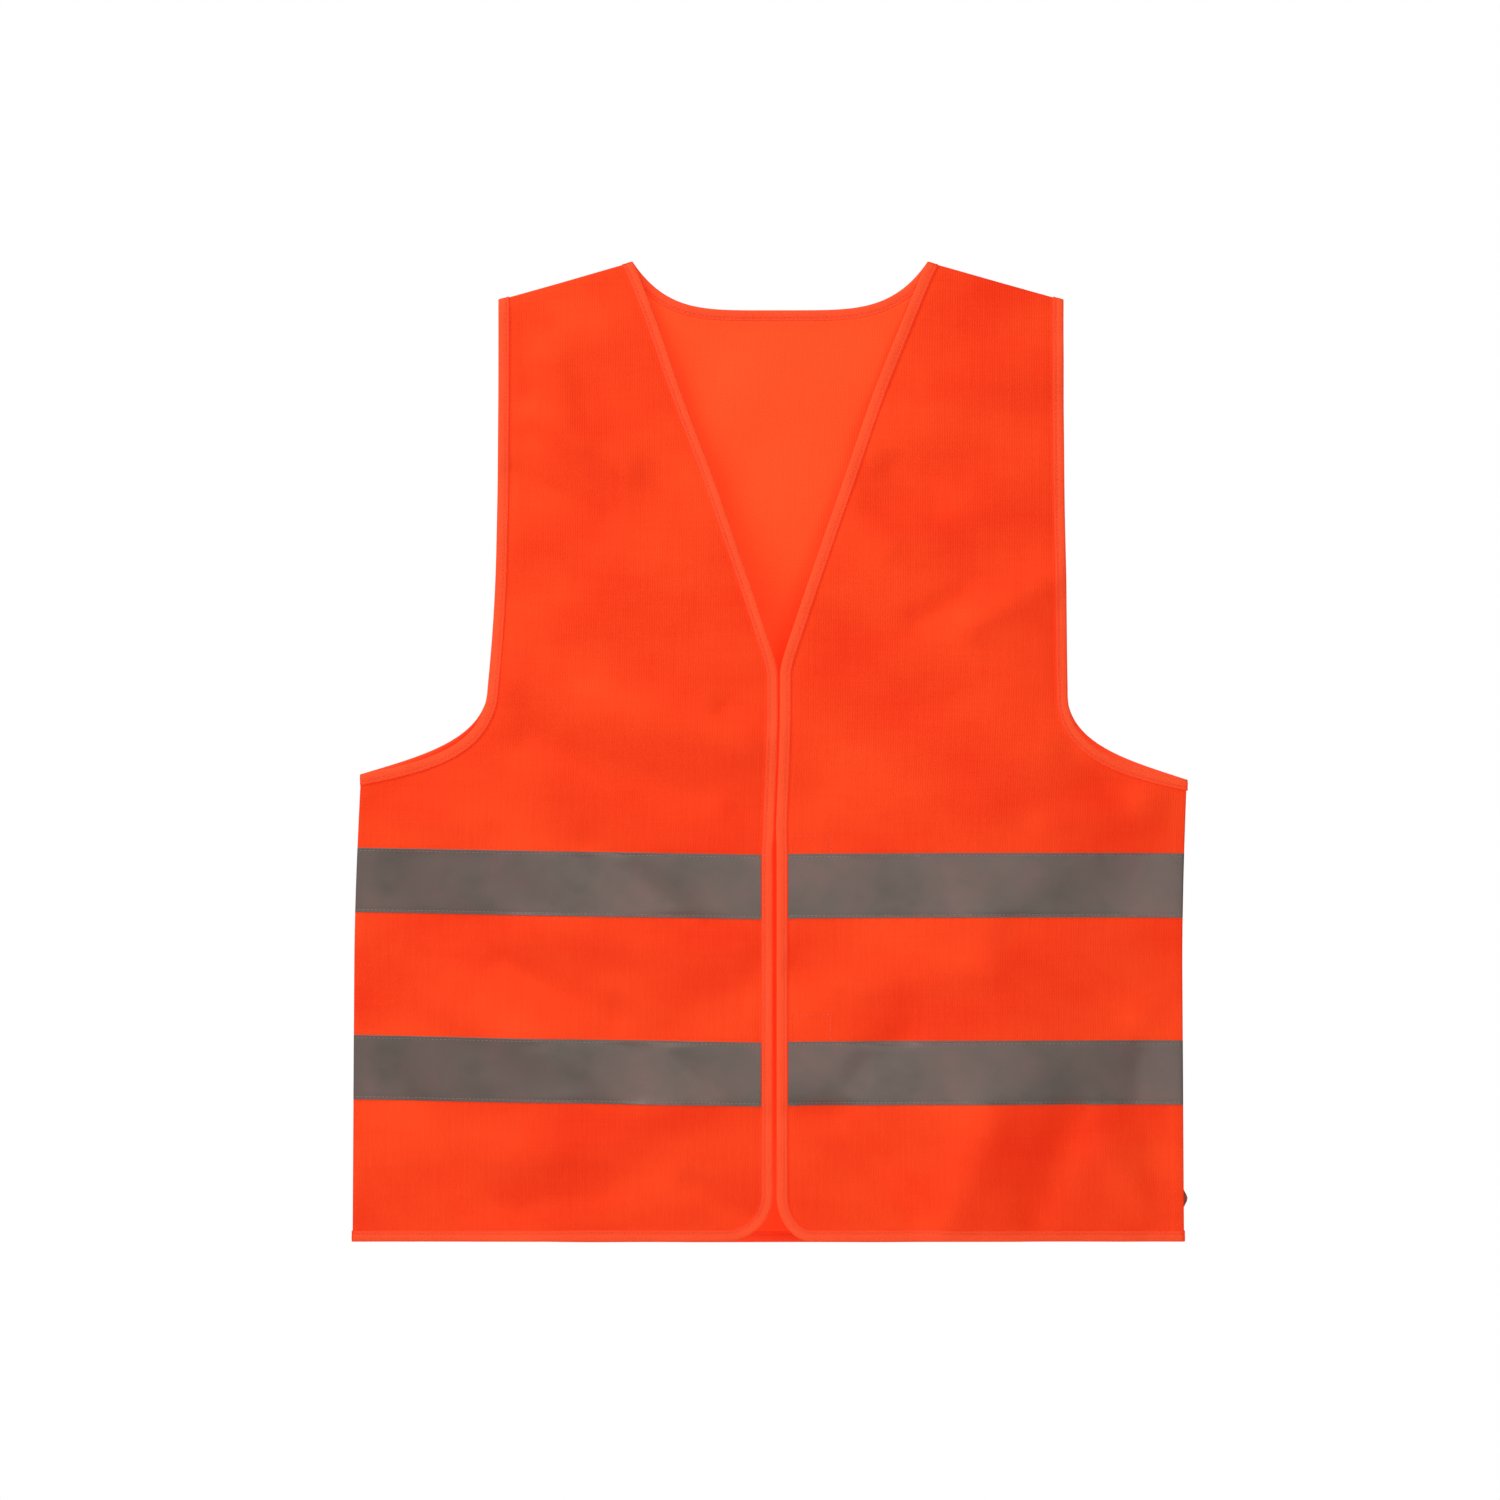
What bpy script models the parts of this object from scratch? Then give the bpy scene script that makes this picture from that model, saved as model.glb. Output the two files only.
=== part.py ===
"""High visibility vest, hanging as on a hanger, in metres with +Z up.

The origin is midway between the two neck points of the shoulders.  The front
faces -Y, and left and right are the wearer's, so left is at +X.  Each front is
one cloth on the real vest.  It folds open along a line from beside the neck
to the hem, so here it is two pieces, a side and a flap, that meet at that line.
"""
import math

import bmesh
import bpy
from mathutils import Matrix, Vector

# Outline, seen from the front.
NECK_HALF = 0.114            # neck point of the shoulder
NECK_DROP = 0.037            # back neck below the neck points
NECK_POWER = 4.5             # how square the back neck is
SHOULDER_TIP = Vector((0.219, -0.0295))
ARM_FOOT = Vector((0.2245, -0.330))      # where the armhole starts to curve
UNDERARM = Vector((0.3175, -0.3990))
ARM_BEND_FRONT = (Vector((0.2245, -0.364)), Vector((0.262, -0.383)))
ARM_BEND_BACK = (Vector((0.2265, -0.357)), Vector((0.266, -0.377)))
HEM_Z = -0.759
SIDE_X = 0.3193              # side edge of the cloth at the hem
V_BENDS = (Vector((0.0775, -0.107)), Vector((0.012, -0.235)))
V_FOOT_Z = -0.320            # bottom of the V
FRONT_EDGE_X = 0.0015        # the fronts meet edge to edge, 3 mm apart
CORNER = Vector((0.027, 0.036))          # rounded lower front corner

# Points along the curved edges.
ARM_STEPS = 12
V_STEPS = 10
CORNER_STEPS = 7
NECK_STEPS = 20
NECK_SPREAD = 0.8            # below 1, so that its points are closest at the ends
SEAM_STEPS = 4               # round a binding's turn from one cloth to the other
NEAR = 0.002                 # points closer than this to a cut are left out

# How far the vest stands open, front to back.
EDGE_DEPTH = 0.0018          # half the distance between the cloths at a seam
HEM_DEPTH = 0.038            # the same at the middle of the hem
LENS_START = 0.165           # the cloths start to close here, towards the side
LENS_STEPS = 12
ROWS = (-0.10, -0.20, -0.29, -0.345, -0.40, -0.456, -0.506,
        -0.553, -0.601, -0.651, -0.705)
PRINT_X = 0.110              # the middle of the back is flat this far out

# Fold line of each front.
FOLD_TOP_X = NECK_HALF
FOLD_HEM_X = 0.160
FLAP_TOP_Z = -0.030          # above this the flap is too narrow to be a piece
FOLD_GAP = 0.00025           # each piece stops this far from the fold line
AXIS_CLEAR = 0.0001          # the fold's axis is this far outside the binding

# Layers.
CLOTH = 0.0008
TAPE = 0.0004
STRIP = 0.0005               # the binding's own thickness
GAP = 0.0005
BINDING_GAP = 0.0005
BINDING_WIDTH = 0.009
SEAM_WIDTH = 0.010           # allowance inside the side and shoulder seams
SEAM_THICK = 0.0018

TAPE_TOPS = {"upper": -0.456, "lower": -0.601}
TAPE_WIDTH = 0.050

# Hook tabs inside the left front, and the loop patches that they press on.
TAB_TOPS = {"upper": -0.441, "lower": -0.579}
TAB_HEIGHT = 0.050
TAB_AXIS_X = 0.006
TAB_BASE_X = (0.0115, 0.0455)
TAB_REACH = 0.038
TAB_CLEAR = 0.0005           # the tab starts this far from its fold
PATCH_WIDTH = 0.020
TAB_THICK = 0.0006
PATCH_THICK = 0.0008

LABEL_Z = (-0.738, -0.699)
LABEL_X = (0.290, 0.3215)
LABEL_THICK = 0.0005

# Distances worked out from the above.
HALF_BINDING = CLOTH / 2 + BINDING_GAP + STRIP
EDGE_INSET = STRIP + BINDING_GAP
SLOPE = (HEM_DEPTH - EDGE_DEPTH) / -HEM_Z
FOLD_AXIS_OFF = HALF_BINDING + AXIS_CLEAR
BASE_OFF = CLOTH / 2 + GAP + TAB_THICK / 2
TAB_OFF = BASE_OFF + GAP + TAB_THICK
HOOK_OFF = TAB_OFF + TAB_THICK / 2 + GAP + PATCH_THICK / 2
LOOP_OFF = CLOTH / 2 + GAP + PATCH_THICK / 2
TAB_AXIS_OFF = (HOOK_OFF + LOOP_OFF + PATCH_THICK + GAP) / 2
SHOULDER_RUN = SHOULDER_TIP - Vector((NECK_HALF, 0.0))
SHOULDER_DIR = SHOULDER_RUN.normalized()
SIDE_TAPER = SLOPE * -SHOULDER_TIP.y / (
    SHOULDER_TIP.x - FOLD_TOP_X
    - (FOLD_HEM_X - FOLD_TOP_X) * SHOULDER_TIP.y / HEM_Z)
FRONT = -1
BACK = 1


def srgb(red, green, blue):
    """A colour given as it looks on screen, as linear values."""
    parts = [c / 255.0 for c in (red, green, blue)]
    return [((c + 0.055) / 1.055) ** 2.4 if c > 0.04 else c / 12.92 for c in parts] + [1.0]


FINISHES = {
    "orange_knit": (srgb(250, 64, 25), 0.85, 0.0),
    "binding_orange": (srgb(253, 78, 37), 0.75, 0.0),
    "reflective_tape": (srgb(112, 97, 91), 0.45, 0.3),
    "hook_and_loop": (srgb(240, 84, 36), 0.9, 0.0),
    "label_satin": (srgb(225, 222, 216), 0.6, 0.0),
}


# ---------------------------------------------------------------- the surface

def fold_x(z):
    """Where the fold line of a front is, at a height."""
    return FOLD_TOP_X + (FOLD_HEM_X - FOLD_TOP_X) * z / HEM_Z


def side_x(z):
    """Where the cloth's side edge is, at a height."""
    return SIDE_X + (UNDERARM.x - SIDE_X) * (z - HEM_Z) / (UNDERARM.y - HEM_Z)


def station_depth(x, z):
    """Half the distance between front and back cloth, at one of the lens steps."""
    open_half = -SLOPE * z - SIDE_TAPER * max(0.0, x - fold_x(z))
    u = min(1.0, max(0.0, (x - LENS_START) / (SIDE_X - LENS_START)))
    closing = 1.0 - u * u * (3.0 - 2.0 * u)
    return EDGE_DEPTH + max(0.0, open_half) * closing


def depth(x, z):
    """The same anywhere: flat facets between the lens steps, so that layers nest."""
    x = abs(x)
    if x <= LENS_START:
        return station_depth(x, z)
    step = (SIDE_X - LENS_START) / LENS_STEPS
    cell = min(int((x - LENS_START) / step), LENS_STEPS - 1)
    x0 = LENS_START + cell * step
    part = min(1.0, (x - x0) / step)
    return (1.0 - part) * station_depth(x0, z) + part * station_depth(x0 + step, z)


def on_cloth(point, face, off):
    """A place on the front or back cloth, off metres outward of its middle."""
    return Vector((point[0], face * (depth(point[0], point[1]) + off), point[1]))


# ------------------------------------------------------------------- outlines

def bezier(p0, p1, p2, p3, steps):
    """Points of a cubic curve, both ends included."""
    points = []
    for i in range(steps + 1):
        t = i / steps
        s = 1.0 - t
        points.append(p0 * s ** 3 + p1 * (3 * s * s * t) + p2 * (3 * s * t * t) + p3 * t ** 3)
    return points


def armhole_edge(bends):
    """Finished armhole edge, from the shoulder tip down to the underarm."""
    curve = bezier(ARM_FOOT, bends[0], bends[1], UNDERARM, ARM_STEPS)
    return [SHOULDER_TIP.copy()] + curve


def v_edge():
    """Finished edge of a front, from the neck point to the bottom of the V."""
    foot = Vector((FRONT_EDGE_X, V_FOOT_Z))
    return bezier(Vector((NECK_HALF, 0.0)), V_BENDS[0], V_BENDS[1], foot, V_STEPS)


def corner_edge():
    """Rounded lower corner of a front, from its front edge round to the hem."""
    centre = Vector((FRONT_EDGE_X + CORNER.x, HEM_Z + CORNER.y))
    points = []
    for i in range(CORNER_STEPS + 1):
        turn = math.pi / 2 * i / CORNER_STEPS
        points.append(centre - Vector((CORNER.x * math.cos(turn), CORNER.y * math.sin(turn))))
    return points


def back_neck_edge():
    """Finished back neck edge, from the left neck point to the right one."""
    points = []
    for i in range(NECK_STEPS + 1):
        part = math.sin(math.pi / 2 * math.cos(math.pi * i / NECK_STEPS))
        part = math.copysign(abs(part) ** NECK_SPREAD, part)
        z = -NECK_DROP * (1.0 - abs(part) ** NECK_POWER)
        points.append(Vector((NECK_HALF * part, z)))
    return points


def inward(points, hand):
    """Directions into the cloth, square to the edge; hand is +1 if cloth is on the left."""
    result = []
    for i, point in enumerate(points):
        before = points[max(0, i - 1)]
        after = points[min(len(points) - 1, i + 1)]
        along = Vector((0.0, 0.0))
        if point is not before:
            along += (point - before).normalized()
        if point is not after:
            along += (after - point).normalized()
        along.normalize()
        result.append(Vector((-along.y, along.x)) * hand)
    return result


def inset(points, hand, distance=EDGE_INSET):
    """The cut edge of the cloth, under its binding."""
    return [p + n * distance for p, n in zip(points, inward(points, hand))]


def with_stations(points):
    """The same edge with a point wherever it crosses one of the lens steps."""
    step = (SIDE_X - LENS_START) / LENS_STEPS
    result = [points[0]]
    for a, b in zip(points, points[1:]):
        cuts = []
        for cell in range(LENS_STEPS + 1):
            for hand in (-1, 1):
                x = hand * (LENS_START + cell * step)
                if min(a.x, b.x) + NEAR < x < max(a.x, b.x) - NEAR:
                    cuts.append((x - a.x) / (b.x - a.x))
        result += [a.lerp(b, cut) for cut in sorted(cuts)]
        result.append(b)
    return result


# ------------------------------------------------------------------- building

def finish_mesh(bm, name, finish):
    """Turn a closed bmesh into a named object with its own material."""
    bmesh.ops.recalc_face_normals(bm, faces=bm.faces)
    mesh = bpy.data.meshes.new(name)
    bm.to_mesh(mesh)
    bm.free()
    colour, roughness, metallic = FINISHES[finish]
    material = bpy.data.materials.new(name + "_" + finish)
    material.use_nodes = True
    shader = material.node_tree.nodes["Principled BSDF"]
    shader.inputs["Base Color"].default_value = colour
    shader.inputs["Roughness"].default_value = roughness
    shader.inputs["Metallic"].default_value = metallic
    material.diffuse_color = colour
    mesh.materials.append(material)
    piece = bpy.data.objects.new(name, mesh)
    bpy.context.scene.collection.objects.link(piece)
    return piece


def sheet(name, outline, face, off, thick, finish, rows=ROWS, flat_x=()):
    """A layer of cloth: its flat outline, cut into facets, raised to its thickness."""
    bm = bmesh.new()
    bm.faces.new([bm.verts.new((p.x, 0.0, p.y)) for p in outline])
    step = (SIDE_X - LENS_START) / LENS_STEPS
    cuts = [(hand * (LENS_START + cell * step), 0.0, 0.0)
            for cell in range(LENS_STEPS) for hand in (-1, 1)]
    cuts += [(hand * x, 0.0, 0.0) for x in flat_x for hand in (-1, 1)]
    for cut in cuts:
        geom = bm.verts[:] + bm.edges[:] + bm.faces[:]
        bmesh.ops.bisect_plane(bm, geom=geom, dist=1e-6, plane_co=cut, plane_no=(1, 0, 0))
    for row in rows:
        geom = bm.verts[:] + bm.edges[:] + bm.faces[:]
        bmesh.ops.bisect_plane(bm, geom=geom, dist=1e-6, plane_co=(0, 0, row), plane_no=(0, 0, 1))
    bmesh.ops.triangulate(bm, faces=bm.faces[:])
    inner = set(bm.verts)
    bmesh.ops.extrude_face_region(bm, geom=bm.faces[:])
    for vert in bm.verts:
        shift = off - thick / 2 if vert in inner else off + thick / 2
        vert.co = on_cloth((vert.co.x, vert.co.z), face, shift)
    return finish_mesh(bm, name, finish)


def binding_profile():
    """Corners of the folded strip: distance in from the edge, and off the cloth's middle."""
    h = HALF_BINDING
    w = BINDING_WIDTH
    t = STRIP
    return [(0, -h), (w, -h), (w, -h + t), (t, -h + t), (t, h - t), (w, h - t), (w, h), (0, h)]


def edge_rings(points, normals, face):
    """The strip's corners along an edge of the front or back cloth."""
    rings = []
    for point, normal in zip(points, normals):
        rings.append([on_cloth(point + normal * u, face, v) for u, v in binding_profile()])
    return rings


def turn_rings(centre, into, up, start):
    """The strip's corners where it turns from one cloth to the other over a seam."""
    rings = []
    for i in range(1, SEAM_STEPS):
        turn = math.pi * i / SEAM_STEPS
        out = Vector((0.0, start * math.cos(turn), 0.0)) + up * math.sin(turn)
        rings.append([centre + into * u + out * (EDGE_DEPTH + v) for u, v in binding_profile()])
    return rings


def strip(name, rings):
    """A binding: its rings joined, with both ends closed."""
    bm = bmesh.new()
    loops = [[bm.verts.new(corner) for corner in ring] for ring in rings]
    count = len(loops[0])
    for a, b in zip(loops, loops[1:]):
        for i in range(count):
            j = (i + 1) % count
            bm.faces.new((a[i], a[j], b[j], b[i]))
    for end in (loops[0], loops[-1]):
        for corners in ((0, 1, 2, 3), (0, 3, 4, 7), (7, 4, 5, 6)):
            bm.faces.new([end[corner] for corner in corners])
    bmesh.ops.triangulate(bm, faces=bm.faces[:])
    return finish_mesh(bm, name, "binding_orange")


def mirrored(points, hand):
    """The same outline on the wearer's left (+1) or right (-1)."""
    return [Vector((p.x * hand, p.y)) for p in points]


def lift(direction):
    """A direction of the flat outline as one in space."""
    return Vector((direction.x, 0.0, direction.y))


# --------------------------------------------------------------------- pieces

def make_back():
    """Back panel, one cloth."""
    arm = inset(armhole_edge(ARM_BEND_BACK), -1)
    neck = inset(back_neck_edge(), 1)
    left = [Vector((arm[0].x, shoulder_z(arm[0].x)))] + arm[1:]
    left += [Vector((SIDE_X, HEM_Z + EDGE_INSET))]
    middle = [p for p in neck if p.y < shoulder_z(p.x) - EDGE_INSET / 2]
    top = Vector((NECK_HALF + EDGE_INSET * SHOULDER_DIR.x, shoulder_z(NECK_HALF + EDGE_INSET)))
    ring = mirrored(left, -1)[::-1] + [mirrored([top], -1)[0]] + middle[::-1] + [top] + left
    sheet("back_panel", ring, BACK, 0.0, CLOTH, "orange_knit", flat_x=(PRINT_X,))


def shoulder_z(x):
    """Height of the shoulder seam."""
    return SHOULDER_RUN.y * (abs(x) - NECK_HALF) / SHOULDER_RUN.x


def make_front(side, hand):
    """A front: its fixed side, with the shoulder, and its flap."""
    arm = inset(armhole_edge(ARM_BEND_FRONT), -1)
    neck_x = NECK_HALF + EDGE_INSET
    v_cut = inset(v_edge(), 1)
    neck = [p for p in v_cut[1:] if p.y > FLAP_TOP_Z + NEAR]
    above = Vector((edge_x_at(v_cut, FLAP_TOP_Z + FOLD_GAP), FLAP_TOP_Z + FOLD_GAP))
    fixed = [Vector((neck_x, shoulder_z(neck_x)))]
    fixed += [Vector((arm[0].x, shoulder_z(arm[0].x)))] + arm[1:]
    fixed += [Vector((SIDE_X, HEM_Z + EDGE_INSET))]
    fixed += [Vector((fold_x(HEM_Z) + FOLD_GAP, HEM_Z + EDGE_INSET))]
    fixed += [Vector((fold_x(FLAP_TOP_Z) + FOLD_GAP, FLAP_TOP_Z + FOLD_GAP)), above]
    fixed += neck[::-1]
    sheet(side + "_front_side", mirrored(fixed, hand), FRONT, 0.0, CLOTH, "orange_knit")

    edge = v_edge() + corner_edge()
    edge.append(Vector((fold_x(HEM_Z) - FOLD_GAP, HEM_Z)))
    cut = [p for p in inset(edge, 1) if p.y < FLAP_TOP_Z - NEAR]
    cut[-1] = Vector((fold_x(HEM_Z) - FOLD_GAP, HEM_Z + EDGE_INSET))
    below = Vector((edge_x_at(v_cut, FLAP_TOP_Z - FOLD_GAP), FLAP_TOP_Z - FOLD_GAP))
    flap = [Vector((fold_x(FLAP_TOP_Z) - FOLD_GAP, FLAP_TOP_Z - FOLD_GAP)), below] + cut
    return sheet(side + "_front_flap", mirrored(flap, hand), FRONT, 0.0, CLOTH,
                 "orange_knit", rows=())


def edge_x_at(points, z):
    """Where an edge is at a height, between its points."""
    for a, b in zip(points, points[1:]):
        if b.y <= z <= a.y:
            return a.x + (b.x - a.x) * (z - a.y) / (b.y - a.y)
    return points[0].x


def make_armhole_binding(side, hand):
    """One strip round the armhole: up the front, over the shoulder, down the back."""
    rings = []
    for face, bends in ((FRONT, ARM_BEND_FRONT), (BACK, ARM_BEND_BACK)):
        edge = with_stations(armhole_edge(bends))
        normals = inward(edge, -1)
        normals[0] = -SHOULDER_DIR
        run = edge_rings(mirrored(edge, hand), mirrored(normals, hand), face)
        if face == FRONT:
            into = lift(mirrored([-SHOULDER_DIR], hand)[0])
            up = Vector((hand * -SHOULDER_DIR.y, 0.0, SHOULDER_DIR.x))
            tip = lift(mirrored([SHOULDER_TIP], hand)[0])
            rings = run[::-1] + turn_rings(tip, into, up, FRONT)
        else:
            rings += run
    strip(side + "_armhole_binding", rings)


def make_neck_binding():
    """One strip round the back neck and over both shoulders to the top of the V."""
    cut_z = FLAP_TOP_Z + FOLD_GAP
    whole = v_edge()
    first = [p for p in whole if p.y > cut_z + NEAR]
    first.append(Vector((edge_x_at(whole, cut_z), cut_z)))
    normals = inward(first, 1)
    normals[0] = SHOULDER_DIR
    normals[-1] = Vector((1.0, 0.0))
    neck = back_neck_edge()
    neck_normals = inward(neck, 1)
    neck_normals[0] = SHOULDER_DIR
    neck_normals[-1] = Vector((-SHOULDER_DIR.x, SHOULDER_DIR.y))
    rings = edge_rings(first, normals, FRONT)[::-1]
    for hand in (1, -1):
        into = lift(mirrored([SHOULDER_DIR], hand)[0])
        up = Vector((hand * -SHOULDER_DIR.y, 0.0, SHOULDER_DIR.x))
        point = Vector((hand * NECK_HALF, 0.0, 0.0))
        if hand == 1:
            rings += turn_rings(point, into, up, FRONT)
            rings += edge_rings(neck, neck_normals, BACK)
        else:
            rings += turn_rings(point, into, up, BACK)
            rings += edge_rings(mirrored(first, -1), mirrored(normals, -1), FRONT)
    strip("neck_binding", rings)


def make_flap_binding(side, hand):
    """One strip down the V and the front edge, round the corner and along the hem."""
    cut_z = FLAP_TOP_Z - FOLD_GAP
    whole = v_edge()
    edge = [Vector((edge_x_at(whole, cut_z), cut_z))]
    edge += [p for p in whole if p.y < cut_z - 2 * NEAR]
    edge += corner_edge()
    edge.append(Vector((fold_x(HEM_Z) - FOLD_GAP, HEM_Z)))
    normals = inward(edge, 1)
    normals[0] = Vector((1.0, 0.0))
    up_fold = Vector((fold_x(0.0) - fold_x(HEM_Z), -HEM_Z))
    normals[-1] = up_fold / up_fold.y
    return strip(side + "_front_edge_binding",
                 edge_rings(mirrored(edge, hand), mirrored(normals, hand), FRONT))


def make_hem_binding():
    """One strip along the hem of both sides and the back."""
    up = Vector((0.0, 1.0))
    into = Vector((0.0, 0.0, 1.0))
    front = with_stations([Vector((fold_x(HEM_Z) + FOLD_GAP, HEM_Z)), Vector((SIDE_X, HEM_Z))])
    back = with_stations([Vector((SIDE_X, HEM_Z)), Vector((-SIDE_X, HEM_Z))][::-1])[::-1]
    rings = edge_rings(front, [up] * len(front), FRONT)
    rings += turn_rings(Vector((SIDE_X, 0.0, HEM_Z)), into, Vector((1, 0, 0)), FRONT)
    rings += edge_rings(back, [up] * len(back), BACK)
    rings += turn_rings(Vector((-SIDE_X, 0.0, HEM_Z)), into, Vector((-1, 0, 0)), BACK)
    rings += edge_rings(mirrored(front, -1)[::-1], [up] * len(front), FRONT)
    strip("hem_binding", rings)


def band(x_low, x_high, top, bottom):
    """Outline of a tape or patch between two edges that may slope with the height."""
    return [Vector((x_low(top), top)), Vector((x_high(top), top)),
            Vector((x_high(bottom), bottom)), Vector((x_low(bottom), bottom))]


def make_tapes(level, top):
    """One tape on the back, and on each front one that crosses the fold."""
    bottom = top - TAPE_WIDTH
    off = CLOTH / 2 + GAP + TAPE / 2
    flap_tapes = {}
    around = band(lambda z: -side_x(z), side_x, top, bottom)
    sheet(level + "_back_tape", around, BACK, off, TAPE, "reflective_tape", flat_x=(PRINT_X,))
    start = FRONT_EDGE_X + BINDING_WIDTH + GAP
    for side, hand in (("left", 1), ("right", -1)):
        fixed = band(lambda z: fold_x(z) + FOLD_GAP, side_x, top, bottom)
        sheet("%s_%s_side_tape" % (level, side), mirrored(fixed, hand), FRONT, off, TAPE,
              "reflective_tape")
        moving = band(lambda z: start, lambda z: fold_x(z) - FOLD_GAP, top, bottom)
        flap_tapes[side] = sheet("%s_%s_flap_tape" % (level, side), mirrored(moving, hand),
                                 FRONT, off, TAPE, "reflective_tape", rows=())
    return flap_tapes


def patch(name, x_range, top, off, thick, finish="hook_and_loop"):
    """A flat rectangle inside a front flap."""
    outline = band(lambda z: x_range[0], lambda z: x_range[1], top, top - TAB_HEIGHT)
    return sheet(name, outline, FRONT, -off, thick, finish, rows=())


def make_seams(side, hand):
    """The folded allowances inside a shoulder seam and a side seam."""
    first = NECK_HALF + (BINDING_WIDTH + GAP) * SHOULDER_DIR.x
    last = SHOULDER_TIP.x - (BINDING_WIDTH + GAP) * SHOULDER_DIR.x
    down = SEAM_WIDTH
    bm = bmesh.new()
    for x in (first, last):
        for y in (-SEAM_THICK / 2, SEAM_THICK / 2):
            bm.verts.new((hand * x, y, shoulder_z(x)))
            bm.verts.new((hand * x, y, shoulder_z(x) - down))
    bmesh.ops.convex_hull(bm, input=bm.verts[:])
    finish_mesh(bm, side + "_shoulder_seam", "orange_knit")

    low = HEM_Z + BINDING_WIDTH + GAP
    if hand == 1:
        low = LABEL_Z[1] + 2 * GAP
    high = UNDERARM.y - BINDING_WIDTH - 4 * GAP
    bm = bmesh.new()
    for z in (low, high):
        for y in (-SEAM_THICK / 2, SEAM_THICK / 2):
            bm.verts.new((hand * side_x(z), y, z))
            bm.verts.new((hand * (side_x(z) - SEAM_WIDTH), y, z))
    bmesh.ops.convex_hull(bm, input=bm.verts[:])
    finish_mesh(bm, side + "_side_seam", "orange_knit")


def make_label():
    """Care label caught in the left side seam, its fold peeping out of the seam."""
    bm = bmesh.new()
    bmesh.ops.create_cube(bm, size=1.0)
    size = Vector((LABEL_X[1] - LABEL_X[0], LABEL_THICK, LABEL_Z[1] - LABEL_Z[0]))
    centre = Vector((sum(LABEL_X) / 2, 0.0, sum(LABEL_Z) / 2))
    bmesh.ops.scale(bm, vec=size, verts=bm.verts)
    bmesh.ops.translate(bm, vec=centre, verts=bm.verts)
    finish_mesh(bm, "care_label", "label_satin")


def pivot(name, low, high):
    """An empty on a joint's axis, its own Z along the axis."""
    empty = bpy.data.objects.new(name, None)
    empty.empty_display_size = 0.03
    turn = (high - low).to_track_quat("Z", "Y")
    empty.location = low
    empty.rotation_mode = "QUATERNION"
    empty.rotation_quaternion = turn
    bpy.context.scene.collection.objects.link(empty)
    return empty, Matrix.LocRotScale(low, turn, None)


def hang(pieces, pivot_and_place):
    """Parent pieces to a pivot without moving them."""
    empty, place = pivot_and_place
    for piece in pieces:
        piece.parent = empty
        piece.matrix_parent_inverse = place.inverted()


def main():
    for old in list(bpy.data.objects):
        bpy.data.objects.remove(old, do_unlink=True)
    make_back()
    flaps = {}
    for side, hand in (("left", 1), ("right", -1)):
        flaps[side] = [make_front(side, hand), make_flap_binding(side, hand)]
        make_armhole_binding(side, hand)
        make_seams(side, hand)
    make_neck_binding()
    make_hem_binding()
    for level, top in TAPE_TOPS.items():
        for side, piece in make_tapes(level, top).items():
            flaps[side].append(piece)
    make_label()

    for level, top in TAB_TOPS.items():
        flaps["left"].append(patch(level + "_tab_base", TAB_BASE_X, top, BASE_OFF, TAB_THICK))
        loop_x = (TAB_AXIS_X - TAB_REACH, TAB_AXIS_X - TAB_REACH + PATCH_WIDTH)
        flaps["right"].append(patch(level + "_loop_patch", loop_x, top, LOOP_OFF, PATCH_THICK))
        tab_x = (TAB_AXIS_X + TAB_CLEAR, TAB_AXIS_X + TAB_REACH)
        hook_x = (TAB_AXIS_X + TAB_REACH - PATCH_WIDTH, TAB_AXIS_X + TAB_REACH)
        moving = [patch(level + "_tab", tab_x, top, TAB_OFF, TAB_THICK),
                  patch(level + "_hook_patch", hook_x, top, HOOK_OFF, PATCH_THICK)]
        low = on_cloth((TAB_AXIS_X, top - TAB_HEIGHT), FRONT, -TAB_AXIS_OFF)
        high = on_cloth((TAB_AXIS_X, top), FRONT, -TAB_AXIS_OFF)
        hang(moving, pivot(level + "_tab_fold", low, high))

    for side, hand in (("left", 1), ("right", -1)):
        low = on_cloth((hand * fold_x(HEM_Z), HEM_Z), FRONT, FOLD_AXIS_OFF)
        high = on_cloth((hand * fold_x(0.0), 0.0), FRONT, FOLD_AXIS_OFF)
        if hand == -1:
            low, high = high, low
        hang(flaps[side], pivot(side + "_front_fold", low, high))


main()
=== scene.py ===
"""Looks of the high visibility vest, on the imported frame, in metres with +Z up.

The front faces -Y, and left and right are the wearer's, so left is at +X.  Every
cloth is laid out flat first, with x across and z down from the neck points of
the shoulders, and drape() carries that flat place to where it hangs.
"""
import math

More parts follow.
